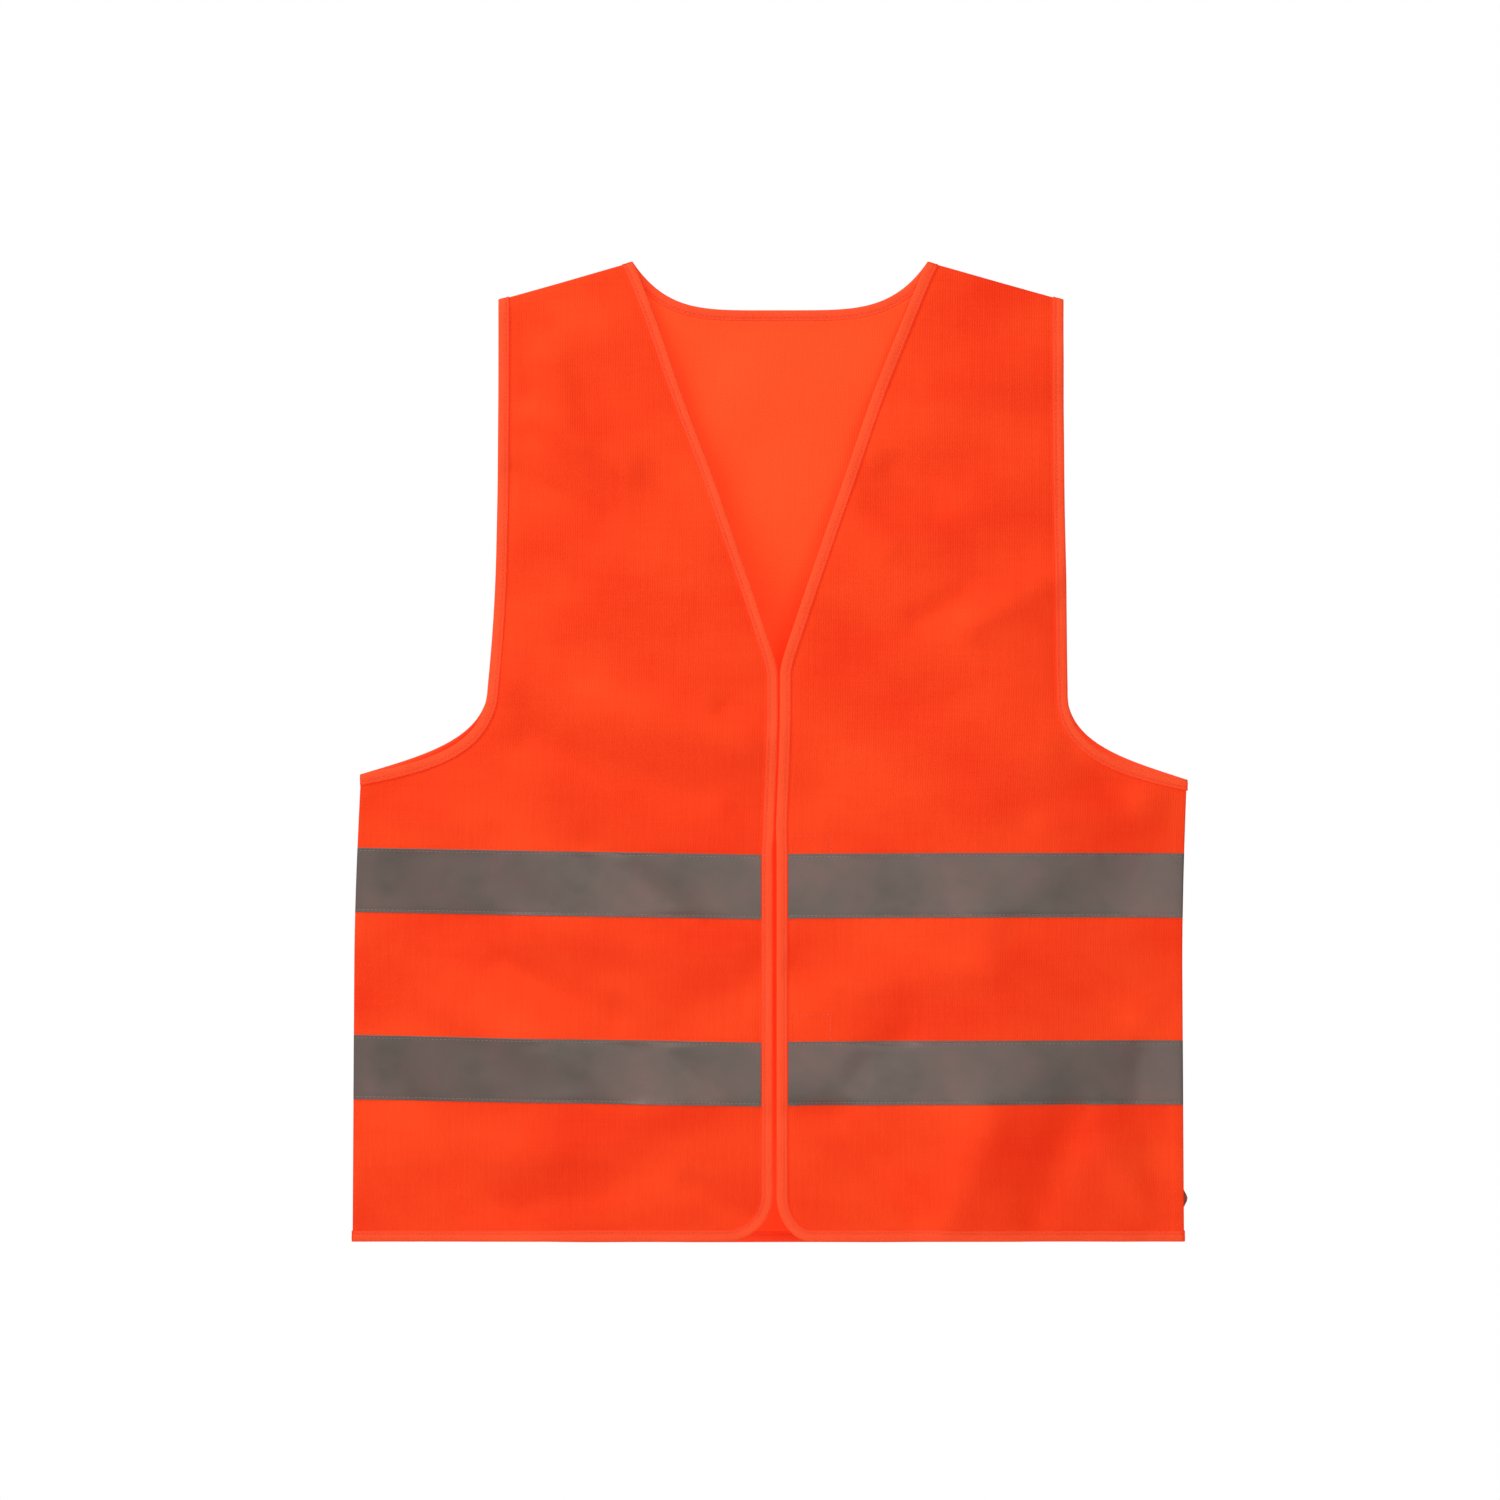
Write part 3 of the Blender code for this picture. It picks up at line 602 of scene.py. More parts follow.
def soft_folds(x, z, face):
    """How far the cloth stands out of its plain shape."""
    out = np.zeros(np.shape(x))
    for x0, z0, x1, z1, width, height in (FRONT_FOLDS if face == FRONT else BACK_FOLDS):
        far = to_segment(x, z, (x0, z0), (x1, z1))
        out += height * np.exp(-(far / width) ** 2)
    out += swells(x, z, face)
    for box in TAPE_BOXES.values():
        for edge in (box[0].z, box[1].z):
            ripple = np.sin(x * 2 * math.pi / 0.0125 + 2.0 * np.sin(x * 37) + edge * 40)
            out += PUCKER_HEIGHT * ripple * np.exp(-np.abs(z - edge) / PUCKER_REACH)
        inside = smooth((box[1].z - z) / TAPE_EASE) * smooth((z - box[0].z) / TAPE_EASE)
        out -= TAPE_CALM * inside * out
    if face == FRONT:
        for box in BASE_BOXES.values():
            past = past_box(x, z, box)
            out -= 0.00035 * np.exp(-(past / 0.0016) ** 2)
            out += 0.0007 * smooth(-past / 0.003)
        for low, high in BASE_BOXES.values():
            dx = np.abs(x) - CALM_HALF_X
            dz = np.abs(z - (low.z + high.z) / 2) - (high.z - low.z) / 2
            away = smooth(np.maximum(dx, dz) / CALM_FADE)
            out = out * (CALM_SHARE + (1 - CALM_SHARE) * away)
    out -= HEM_CURL * np.exp(-((z - HEM_Z) / HEM_CURL_REACH) ** 2)
    return out * smooth((to_seam(x, z) - 0.002) / 0.035)


def sag(x, z, face):
    """The cloth's drop towards the wearer's left and the middle of the fronts."""
    level = smooth((-z - 0.15) / 0.28) * smooth((z - HEM_Z) / 0.12)
    t = np.clip(x / SIDE_X, -1.0, 1.0)
    drop = 0.0002 - 0.0022 * t
    if face == FRONT:
        drop = drop - 0.0032 * np.where(x < 0, 1 + t, 0.8 * (1 - t) ** 2)
    hem = smooth((-z - 0.6) / 0.14) * smooth((SIDE_X - np.abs(x)) / 0.20)
    return drop * level + (0.0018 if face == FRONT else -0.0020) * hem


def aside(x, z, face):
    """Sideways drift: the sides sway, and the front edges close above the upper tape."""
    middle = 0.0033 * (1 - smooth((-z - 0.34) / 0.12))
    middle = middle - 0.0022 * np.exp(-((z + 0.10) / 0.045) ** 2)
    sway = 0.005 - 0.0098 * smooth((-z - 0.22) / 0.33)
    sway = middle + (sway - middle) * smooth(np.abs(x) / 0.2)
    if face == BACK:
        return sway
    top = TAPE_BOXES["upper"][1].z
    level = smooth((-z - 0.27) / 0.06) * smooth((z - top) / 0.02)
    return sway - np.sign(x) * 0.0008 * level * np.exp(-(x / 0.03) ** 2)


def drape(x, z, face, off=0.0, rolled=False):
    """Where a flat place hangs, off metres outward of the middle of its cloth."""
    x = np.asarray(x, float)
    z = np.asarray(z, float)
    half = half_opening(x, z, rolled)
    stand = np.maximum(soft_folds(x, z, face), -0.5 * half)
    return np.stack([x + aside(x, z, face), face * (half + stand + off),
                     z + sag(x, z, face)], -1)


# ------------------------------------------------------------------- building

def new_piece(name, verts, faces, flat, finish, flat_faces=()):
    """A mesh piece with its flat places as a UV map, smooth but for the faces named."""
    mesh = bpy.data.meshes.new(name)
    mesh.from_pydata(verts.tolist(), [], faces)
    bm = bmesh.new()
    bm.from_mesh(mesh)
    bmesh.ops.recalc_face_normals(bm, faces=bm.faces)
    bm.to_mesh(mesh)
    bm.free()
    uv = mesh.uv_layers.new(name="pattern")
    corner_verts = np.zeros(len(mesh.loops), int)
    mesh.loops.foreach_get("vertex_index", corner_verts)
    uv.data.foreach_set("uv", flat[corner_verts].astype(np.float32).ravel())
    smooth_faces = np.ones(len(mesh.polygons), bool)
    smooth_faces[list(flat_faces)] = False
    mesh.polygons.foreach_set("use_smooth", smooth_faces)
    mesh.materials.append(finish)
    piece = bpy.data.objects.new(name, mesh)
    bpy.context.scene.collection.objects.link(piece)
    return piece


def quads(index):
    """Corners of the quads between the vertices of a grid."""
    corners = [index[:-1, :-1], index[:-1, 1:], index[1:, 1:], index[1:, :-1]]
    return np.stack(corners, -1).reshape(-1, 4)


def cloth(name, top, under, flat, finish):
    """A thin cloth between two grids of points, closed round its border."""
    rows, cols = top.shape[:2]
    count = rows * cols
    verts = np.vstack([top.reshape(-1, 3), under.reshape(-1, 3)])
    index = np.arange(count).reshape(rows, cols)
    faces = quads(index)
    other = quads(index + count)[:, ::-1]
    ring = np.concatenate([index[0, :-1], index[:-1, -1], index[-1, :0:-1], index[:0:-1, 0]])
    after = np.roll(ring, -1)
    wall = np.stack([after, ring, ring + count, after + count], 1)
    every = faces.tolist() + other.tolist() + wall.tolist()
    flats = np.vstack([flat.reshape(-1, 2)] * 2)
    walls = range(len(every) - len(wall), len(every))
    return new_piece(name, verts, every, flats, finish, walls)


def spread(width, cell=CELL):
    """Shares across a width, with close steps at both ends."""
    steps = np.array(EDGE_STEPS)
    count = max(3, int(round((PANEL_WIDTH - 2 * steps[-1]) / cell)))
    middle = np.linspace(steps[-1], width - steps[-1], count)
    return np.concatenate([steps[:-1], middle, width - steps[:-1][::-1]]) / width


def rows_down():
    """Heights of the rows of a panel, close together where its edges curve and at the tapes."""
    steps = np.array(EDGE_STEPS)
    bend = np.arange(0.338, 0.405, 0.0021)
    parts = [steps, np.arange(steps[-1] + CELL, bend[0] - 0.002, CELL), bend,
             np.arange(bend[-1] + 0.0035, -HEM_Z - 0.040, CELL),
             np.arange(-HEM_Z - 0.0375, -HEM_Z - 0.0185, 0.0021)]
    parts.append(-HEM_Z - EDGE_INSET - steps[::-1])
    depths = np.concatenate(parts)
    beside = np.arange(-TAPE_EDGE_ROWS, TAPE_EDGE_ROWS + 1) * TAPE_EDGE_STEP
    for box in TAPE_BOXES.values():
        for edge in (-box[1].z, -box[0].z):
            depths = depths[np.abs(depths - edge) > beside[-1] + TAPE_EDGE_STEP / 2]
            depths = np.concatenate([depths, edge + beside])
    return -np.sort(depths)


def dip(x, z, lines):
    """The cloth is drawn down beside its bindings."""
    near = np.full(np.shape(x), 1.0)
    for line in lines:
        near = np.minimum(near, to_line(x, z, line))
    return -0.0005 * np.exp(-((near - BINDING_WIDTH - 0.0012) / 0.0022) ** 2)


def make_panel(name, x, z, face, lines, finish):
    """A knitted panel from its grid of flat places."""
    drawn = dip(x, z, lines)
    top = drape(x, z, face, CLOTH / 2 + drawn, rolled=True)
    under = drape(x, z, face, -CLOTH / 2 + drawn, rolled=True)
    piece = cloth(name, top, under, np.stack([x, z], -1), finish)
    return piece


def outer_x(z, bends):
    """Outer boundary of a panel: armhole edge, then side edge."""
    points, _ = walk(armhole_line(bends), 0.001, EDGE_INSET, -1)
    arm = np.interp(-z, -points[:, 1], points[:, 0])
    arm = np.where(z < UNDERARM[1] + EDGE_INSET, side_x(z), arm)
    return arm


def make_front(side, hand, finish):
    """One front, from the V to the side and from the shoulder to the hem."""
    q = rows_down()
    fade = 1 - smooth(-q / 0.25)
    z_out = q + SHOULDER_TIP[1] * fade
    z_out[-1] = q[-1]
    free, _ = walk(front_line(hand), 0.0008, EDGE_INSET, 1)
    keep = free[:, 1] > HEM_Z + EDGE_INSET + 1e-5
    x_in = np.interp(-q, -free[keep, 1], free[keep, 0])
    x_in[0] = NECK_HALF + EDGE_INSET
    x_out = outer_x(z_out, ARM_BEND_FRONT)
    shares = np.stack([spread(w) for w in x_out - x_in])
    x = x_in[:, None] + (x_out - x_in)[:, None] * shares
    z = q[:, None] + (z_out - q)[:, None] * shares
    lines = [front_line(hand)[::2] * (hand, 1), armhole_line(ARM_BEND_FRONT)[::2] * (hand, 1)]
    return make_panel(side + "_front_panel", x * hand, z, FRONT, lines, finish)


def make_back(finish):
    """The back, one panel from armhole to armhole."""
    q = rows_down()
    fade = 1 - smooth(-q / 0.25)
    z_out = q + SHOULDER_TIP[1] * fade
    x_out = outer_x(z_out, ARM_BEND_BACK)
    half = np.stack([spread(2 * w) for w in x_out])
    low = 2 * half - 1
    count = low.shape[1]
    top_x = low[0] * x_out[0]
    edge, _ = walk(neck_line(), 0.0006, EDGE_INSET, 1)
    edge = edge[::-1]
    run = (NECK_HALF + EDGE_INSET) / x_out[0]
    pull = np.abs(low[0])
    nearest = np.argmin(np.abs(pull - run))
    snap = np.isclose(pull, pull[nearest], atol=1e-6)
    top_x = np.where(snap, np.sign(top_x) * (NECK_HALF + EDGE_INSET), top_x)
    shoulder = SHOULDER_TIP[1] * (np.abs(top_x) - NECK_HALF) / (SHOULDER_TIP[0] - NECK_HALF)
    neck = np.interp(top_x, edge[:, 0], edge[:, 1])
    z_top = np.where(np.abs(top_x) >= NECK_HALF + EDGE_INSET - 1e-6, shoulder, neck)
    share = fade[:, None] * (top_x / x_out[0]) + (1 - fade[:, None]) * low
    x = x_out[:, None] * share
    z = q[:, None] + fade[:, None] * z_top
    z[:, [0, count - 1]] = z_out[:, None]
    arm = armhole_line(ARM_BEND_BACK)[::2]
    hem = np.array([(-SIDE_X, HEM_Z), (SIDE_X, HEM_Z)])
    lines = [arm, arm * (-1, 1), neck_line()[::2], hem]
    return make_panel("back_cloth", x, z, BACK, lines, finish)


# ------------------------------------------------------------------- bindings

# Outside of the folded ribbon: depth in from the edge, and half its thickness.
RIBBON_OUT = (
    (0.0086, 0.00040), (0.0084, 0.00060), (0.0074, 0.00074), (0.0066, 0.00064),
    (0.0060, 0.00048), (0.0054, 0.00064), (0.0043, 0.00084), (0.0030, 0.00088),
    (0.0015, 0.00080), (0.0005, 0.00056), (0.0, 0.0),
)
RIBBON_IN = 0.00027


def ribbon_profile():
    """Matching points outside and inside the folded ribbon."""
    half = np.array(RIBBON_OUT)
    outside = np.vstack([half, half[-2::-1] * (1, -1)])
    inside = outside.copy()
    inside[:, 0] = np.maximum(inside[:, 0], 0.0004)
    inside[:, 1] = np.sign(inside[:, 1]) * np.minimum(np.abs(inside[:, 1]), RIBBON_IN)
    return outside, inside


def rings_along(points, inward, face, profile):
    """A profile carried along an edge of one cloth."""
    x = points[:, None, 0] + inward[:, None, 0] * profile[None, :, 0]
    z = points[:, None, 1] + inward[:, None, 1] * profile[None, :, 0]
    return drape(x, z, face, profile[None, :, 1])


def rings_over(point, into, start, profile, steps=7):
    """A profile turned over a seam, from the cloth facing start to the other."""
    up = np.array([-into[1], into[0]])
    sideways = abs(up[0]) > 0.5
    if (up[0] * point[0] if sideways else up[1]) < 0:
        up = -up
    rings = []
    level = drape(np.array(point[0]), np.array(point[1]), FRONT)
    for turn in np.linspace(0.0, math.pi, steps)[1:-1]:
        out = np.array([up[0] * math.sin(turn), start * math.cos(turn), up[1] * math.sin(turn)])
        flat = np.array([into[0], 0.0, into[1]])
        out *= (TURN_RISE, 1.0, TURN_RISE)
        centre = np.array([level[0], 0.0, level[2]])
        rings.append(centre + profile[:, :1] * flat + (SEAM_DEPTH + profile[:, 1:]) * out)
    return np.array(rings)


def ribbon(name, runs, finish, closed=False):
    """A binding: runs along edges and turns over seams, joined into one strip."""
    outside, inside = ribbon_profile()
    outer = np.vstack([run(outside) for run in runs])
    inner = np.vstack([run(inside) for run in runs])
    rings = np.concatenate([outer, inner[:, ::-1], outer[:, :1]], 1)
    count, around = rings.shape[:2]
    verts = rings[:, :-1].reshape(-1, 3)
    index = np.arange(count * (around - 1)).reshape(count, around - 1)
    index = np.hstack([index, index[:, :1]])
    if closed:
        index = np.vstack([index, index[:1]])
    every = quads(index).tolist()
    if not closed:
        m = len(outside)
        for ring in (index[0], index[-1]):
            for j in range(m - 1):
                every.append([int(ring[k]) for k in (j, j + 1, 2 * m - 2 - j, 2 * m - 1 - j)])
    middle = outer[:, len(outside) // 2]
    steps = np.linalg.norm(np.diff(middle, axis=0), axis=1)
    length = np.concatenate([[0.0], np.cumsum(steps)])
    across = np.concatenate([[0.0], np.cumsum(np.linalg.norm(np.diff(outside, axis=0), axis=1))])
    across = np.concatenate([across, across[::-1]])
    flat = np.stack(np.broadcast_arrays(length[:, None], across[None, :]), -1).reshape(-1, 2)
    piece = new_piece(name, verts, every, flat, finish)
    return piece


def run_along(line, face, hand, inward_hand, first=None, last=None):
    """How a profile goes along a line on one side of the vest."""
    points, inward = walk(line, RING_STEP, 0.0, inward_hand)
    if first is not None:
        inward[0] = first
    if last is not None:
        inward[-1] = last
    points = points * (hand, 1)
    inward = inward * (hand, 1)
    return lambda profile: rings_along(points, inward, face, profile)


def turned(run):
    """The same run from its other end."""
    return lambda profile: run(profile)[::-1]


def over_seam(point, into, start):
    """How a profile turns over a seam at a point."""
    return lambda profile: rings_over(np.array(point), np.array(into), start, profile)


def make_bindings(ribbons):
    """Every binding, by name."""
    shoulder = np.array(SHOULDER_TIP) - (NECK_HALF, 0.0)
    shoulder /= np.linalg.norm(shoulder)
    down = np.array([SIDE_X - UNDERARM[0], HEM_Z - UNDERARM[1]])
    down /= np.linalg.norm(down)
    made = {}
    for side, hand in (("left", 1), ("right", -1)):
        made[side + "_front"] = ribbon(side + "_front_binding_ribbon", [
            run_along(front_line(hand), FRONT, hand, 1, first=shoulder, last=(0.0, 1.0)),
        ], ribbons)
        made[side + "_armhole"] = ribbon(side + "_armhole_binding_ribbon", [
            turned(run_along(armhole_line(ARM_BEND_FRONT), FRONT, hand, -1,
                             first=-shoulder, last=down)),
            over_seam((SHOULDER_TIP[0] * hand, SHOULDER_TIP[1]), -shoulder * (hand, 1), FRONT),
            run_along(armhole_line(ARM_BEND_BACK), BACK, hand, -1, first=-shoulder, last=down),
            over_seam((UNDERARM[0] * hand, UNDERARM[1]), down * (hand, 1), BACK),
        ], ribbons, closed=True)
    mirror = (-1, 1)
    made["neck"] = ribbon("neck_binding_ribbon", [
        over_seam((NECK_HALF, 0.0), shoulder, FRONT),
        run_along(neck_line(), BACK, 1, 1, first=shoulder, last=shoulder * mirror),
        over_seam((-NECK_HALF, 0.0), shoulder * mirror, BACK),
    ], ribbons)
    hem = np.array([(SIDE_X, HEM_Z), (-SIDE_X, HEM_Z)])
    made["hem"] = ribbon("back_hem_binding_ribbon", [
        over_seam((SIDE_X, HEM_Z), (0.0, 1.0), FRONT),
        run_along(hem, BACK, 1, -1, first=(0.0, 1.0), last=(0.0, 1.0)),
        over_seam((-SIDE_X, HEM_Z), (0.0, 1.0), BACK),
    ], ribbons)
    return made


# ---------------------------------------------------------------------- tapes

def tape_rows(box):
    """Heights across a tape, close together at its sewn edges."""
    steps = np.array((0.0, 0.0005, 0.0012, 0.0018, TAPE_STITCH, 0.0027, 0.0036, 0.006))
    height = box[1].z - box[0].z
    inner = np.linspace(0.0095, height - 0.0095, 9)
    return box[1].z - np.concatenate([steps, inner, height - steps[::-1]])


def tape_grid(box, face, start):
    """Flat places of a tape from start(z) to the left side, and its rise beside stitches."""
    z = tape_rows(box)
    low = start(z)
    high = side_x(z)
    shares = np.stack([spread(w, CELL * (1.0 if face == FRONT else 0.5)) for w in high - low])
    x = low[:, None] + (high - low)[:, None] * shares
    z = np.repeat(z[:, None], x.shape[1], 1)
    from_edge = np.minimum(z - box[0].z, box[1].z - z)
    rise = 0.00013 * (1 - np.exp(-((from_edge - TAPE_STITCH) / 0.0011) ** 2))
    return x, z, rise


def tape_piece(name, x, z, rise, face, box, finish):
    """The tape itself on its cloth."""
    top = drape(x, z, face, TAPE_OFF + TAPE / 2 + rise, rolled=True)
    under = drape(x, z, face, TAPE_OFF - TAPE / 2 + rise * 0.4, rolled=True)
    flat = np.stack([x, z - (box[0].z + box[1].z) / 2], -1)
    piece = cloth(name, top, under, flat, finish)
    return piece


def make_tapes(finish):
    """Both tapes, each in a back piece and two front pieces."""
    made = {}
    start = FRONT_EDGE_X + BINDING_WIDTH + TAPE_CLEAR
    for level, box in TAPE_BOXES.items():
        x, z, rise = tape_grid(box, BACK, lambda h: -side_x(h))
        made[level, "back"] = tape_piece(level + "_back_reflector", x, z, rise, BACK, box,
                                         finish)
        x, z, rise = tape_grid(box, FRONT, lambda h: np.full(len(h), start))
        for side, hand in (("left", 1), ("right", -1)):
            made[level, side] = tape_piece("%s_%s_front_reflector" % (level, side), x * hand,
                                           z, rise, FRONT, box, finish)
    return made


# ------------------------------------------------------------------- stitches

def thread_shape():
    """One visible stitch: a short thread, thick in the middle, along X."""
    bpy.ops.object.select_all(action="DESELECT")
    bpy.ops.mesh.primitive_uv_sphere_add(segments=6, ring_count=4, radius=1.0,
                                         rotation=(0.0, math.pi / 2, 0.0))
    shape = bpy.context.object
    bpy.ops.object.transform_apply(location=False, rotation=True, scale=False)
    bpy.ops.object.mode_set(mode="EDIT")
    bpy.ops.mesh.select_all(action="SELECT")
    bpy.ops.transform.resize(value=(0.00125, 0.00030, 0.00026))
    bpy.ops.object.mode_set(mode="OBJECT")
    verts = np.array([v.co for v in shape.data.vertices])
    faces = [list(p.vertices) for p in shape.data.polygons]
    bpy.data.objects.remove(shape)
    return verts, faces


def copies(name, shape, centres, alongs, outs, finish):
    """The same small shape at many places, as one piece."""
    verts, faces = shape
    alongs = alongs / np.linalg.norm(alongs, axis=1)[:, None]
    sides = np.cross(outs, alongs)
    sides /= np.linalg.norm(sides, axis=1)[:, None]
    outs = np.cross(alongs, sides)
    every = (centres[:, None] + verts[None, :, :1] * alongs[:, None]
             + verts[None, :, 1:2] * sides[:, None] + verts[None, :, 2:] * outs[:, None])
    count = len(verts)
    all_faces = [[v + i * count for v in face] for i in range(len(centres)) for face in faces]
    flat = np.repeat(centres[:, [0, 2]], count, 0)
    return new_piece(name, every.reshape(-1, 3), all_faces, flat, finish)


def seam_row(points, inward, face, depth_in, off):
    """Places, directions and outward normals of a row of stitches."""
    at = points + inward * depth_in
    places = drape(at[:, 0], at[:, 1], face, off)
    beside = at + inward * 0.001
    into = drape(beside[:, 0], beside[:, 1], face, off) - places
    along = np.gradient(places, axis=0)
    outs = np.cross(along, into)
    outs *= np.sign(outs[:, 1] * face * math.copysign(1.0, off))[:, None]
    return places, along, outs / np.linalg.norm(outs, axis=1)[:, None]


def join_rows(rows):
    """Places, directions and normals of all the rows, each joined."""
    return [np.vstack([row[k] for row in rows]) for k in range(3)]


def binding_rows(line, face, hand, inward_hand, trim=2):
    """Stitch rows on both legs of a binding."""
    points, inward = walk(line, STITCH_PITCH, 0.0, inward_hand)
    points = points[trim:-trim] * (hand, 1)
    inward = inward[trim:-trim] * (hand, 1)
    return [seam_row(points, inward, face, BINDING_STITCH, sign * 0.0006) for sign in (1, -1)]


def tape_stitch_rows(box, face, low, high):
    """Stitch rows along both edges of a tape."""
    rows = []
    for z in (box[0].z + TAPE_STITCH, box[1].z - TAPE_STITCH):
        count = int((high - low) / STITCH_PITCH)
        x = np.linspace(low, high, count)
        points = np.stack([x, np.full(count, z)], 1)
        inward = np.repeat([[0.0, 1.0]], count, 0)
        rows.append(seam_row(points, inward, face, 0.0, TAPE_OFF + TAPE / 2 + 0.00008))
    return rows


def base_outline_rows(box):
    """The sewn rectangle that holds a tab's base, where the tape leaves it bare."""
    inset = 0.0015
    left, right = box[0].x + inset, box[1].x - inset
    top, bottom = box[1].z - inset, box[0].z + inset
    line = np.array([(left, bottom), (left, top), (right, top), (right, bottom), (left, bottom)])
    rows = []
    for a, b in zip(line[:-1], line[1:]):
        count = int(np.linalg.norm(b - a) / STITCH_PITCH)
        points = a + (b - a) * (np.arange(count)[:, None] + 0.5) / count
        inward = np.repeat([[-(b - a)[1], (b - a)[0]]], count, 0) / np.linalg.norm(b - a)
        bare = np.ones(count, bool)
        for tape in TAPE_BOXES.values():
            bare &= (points[:, 1] > tape[1].z + 0.001) | (points[:, 1] < tape[0].z - 0.001)
        if bare.sum() > 2:
            rows.append(seam_row(points[bare], inward[bare], FRONT, 0.0, CLOTH / 2 + 0.0001))
    return rows


def make_stitches(finishes):
    """All visible sewing, by the part of the vest that it moves with."""
    shape = thread_shape()
    made = {}
    for side, hand in (("left", 1), ("right", -1)):
        rows = binding_rows(front_line(hand), FRONT, hand, 1)
        if side == "left":
            for box in BASE_BOXES.values():
                rows += base_outline_rows(box)
        made[side + "_front_stitches"] = copies(
            side + "_front_stitches", shape, *join_rows(rows), finishes["orange_thread"])
        rows = []
        for box in TAPE_BOXES.values():
            low = FRONT_EDGE_X + BINDING_WIDTH + SEAM_STITCH_TRIM
            high = side_x(box[1].z) - SEAM_STITCH_TRIM
            low, high = sorted((low * hand, high * hand))
            rows += tape_stitch_rows(box, FRONT, low, high)
        made[side + "_tape_stitches"] = copies(
            side + "_tape_stitches", shape, *join_rows(rows), finishes["grey_thread"])
    rows = binding_rows(neck_line(), BACK, 1, 1)
    hem = np.array([(SIDE_X, HEM_Z), (-SIDE_X, HEM_Z)])
    rows += binding_rows(hem, BACK, 1, -1)
    for hand in (1, -1):
        rows += binding_rows(armhole_line(ARM_BEND_FRONT), FRONT, hand, -1)
        rows += binding_rows(armhole_line(ARM_BEND_BACK), BACK, hand, -1)
    made["shell_stitches"] = copies("binding_stitches", shape, *join_rows(rows),
                                    finishes["orange_thread"])
    rows = []
    for box in TAPE_BOXES.values():
        high = side_x(box[1].z) - SEAM_STITCH_TRIM
        rows += tape_stitch_rows(box, BACK, -high, high)
    made["back_tape_stitches"] = copies("back_tape_stitches", shape, *join_rows(rows),
                                        finishes["grey_thread"])
    return made


# ------------------------------------------------------------------ closures

def layer(path, z_values, face, finish, name, thick):
    """A cloth whose cross-section is a path of x and off, carried down the rows."""
    along = np.gradient(path, axis=0)
    along /= np.linalg.norm(along, axis=1)[:, None]
    normal = np.stack([-along[:, 1], along[:, 0]], 1)
    length = np.concatenate([[0.0], np.cumsum(np.linalg.norm(np.diff(path, axis=0), axis=1))])
    sides = []
    for sign in (1, -1):
        line = path + normal * sign * thick / 2
        x = np.repeat(line[None, :, 0], len(z_values), 0)
        z = np.repeat(z_values[:, None], len(path), 1)
        sides.append(drape(x, z, face, np.repeat(line[None, :, 1], len(z_values), 0)))
    flat = np.stack(np.broadcast_arrays(length[None, :], z_values[:, None]), -1)
    return cloth(name, sides[0], sides[1], flat, finish), float(length[-1])


def fold_path(far_first, turn_x, first_off, second_off, far_second, steps=8):
    """Out along one layer, round a small fold and back along the other."""
    radius = abs(second_off - first_off) / 2
    middle = (first_off + second_off) / 2
    away = math.copysign(1.0, far_first - turn_x)
    turn = np.linspace(-math.pi / 2, math.pi / 2, steps)
    arc = np.stack([turn_x + away * radius * (1 - np.cos(turn)),
                    middle + np.sin(turn) * (second_off - first_off) / 2], 1)
    first = np.linspace((far_first, first_off), (turn_x + away * radius, first_off), 14)[:-1]
    second = np.linspace((turn_x + away * radius, second_off), (far_second, second_off), 14)[1:]
    return np.vstack([first, arc, second])


def hook_shape():
    """One hook of the fastener: a stem bent over at its top, along Z."""
    bpy.ops.object.select_all(action="DESELECT")
    bpy.ops.mesh.primitive_cylinder_add(vertices=5, radius=0.00013, depth=0.00022,
                                        location=(0.0, 0.0, 0.00011))
    shape = bpy.context.object
    bpy.ops.object.mode_set(mode="EDIT")
    bpy.ops.mesh.select_all(action="DESELECT")
    bpy.ops.object.mode_set(mode="OBJECT")
    for face in shape.data.polygons:
        face.select = face.normal.z > 0.9
    bpy.ops.object.mode_set(mode="EDIT")
    for shift in ((0.00008, 0.0, 0.00008), (0.00014, 0.0, -0.00003)):
        bpy.ops.mesh.extrude_region_move(TRANSFORM_OT_translate={"value": shift})
        bpy.ops.transform.resize(value=(0.8, 0.8, 0.8))
    bpy.ops.object.mode_set(mode="OBJECT")
    bpy.ops.object.transform_apply(location=True, rotation=True, scale=True)
    verts = np.array([v.co for v in shape.data.vertices])
    faces = [list(p.vertices) for p in shape.data.polygons]
    bpy.data.objects.remove(shape)
    return verts, faces


def patch_points(box, pitch):
    """Places of a staggered grid over a patch."""
    x = np.arange(box[0].x + pitch, box[1].x - pitch / 2, pitch)
    z = np.arange(box[0].z + pitch, box[1].z - pitch / 2, pitch)
    grid = np.stack(np.meshgrid(x, z), -1)
    grid[1::2, :, 0] += pitch / 2
    grid = grid.reshape(-1, 2)
    return grid[grid[:, 0] < box[1].x - pitch / 2]


def off_of(box):
    """How far inside the front cloth a flat patch lies: its two faces."""
    outer = -box[0].y - (EDGE_DEPTH - SLOPE * box[0].z)
    inner = -box[1].y - (EDGE_DEPTH - SLOPE * box[1].z)
    return outer, inner


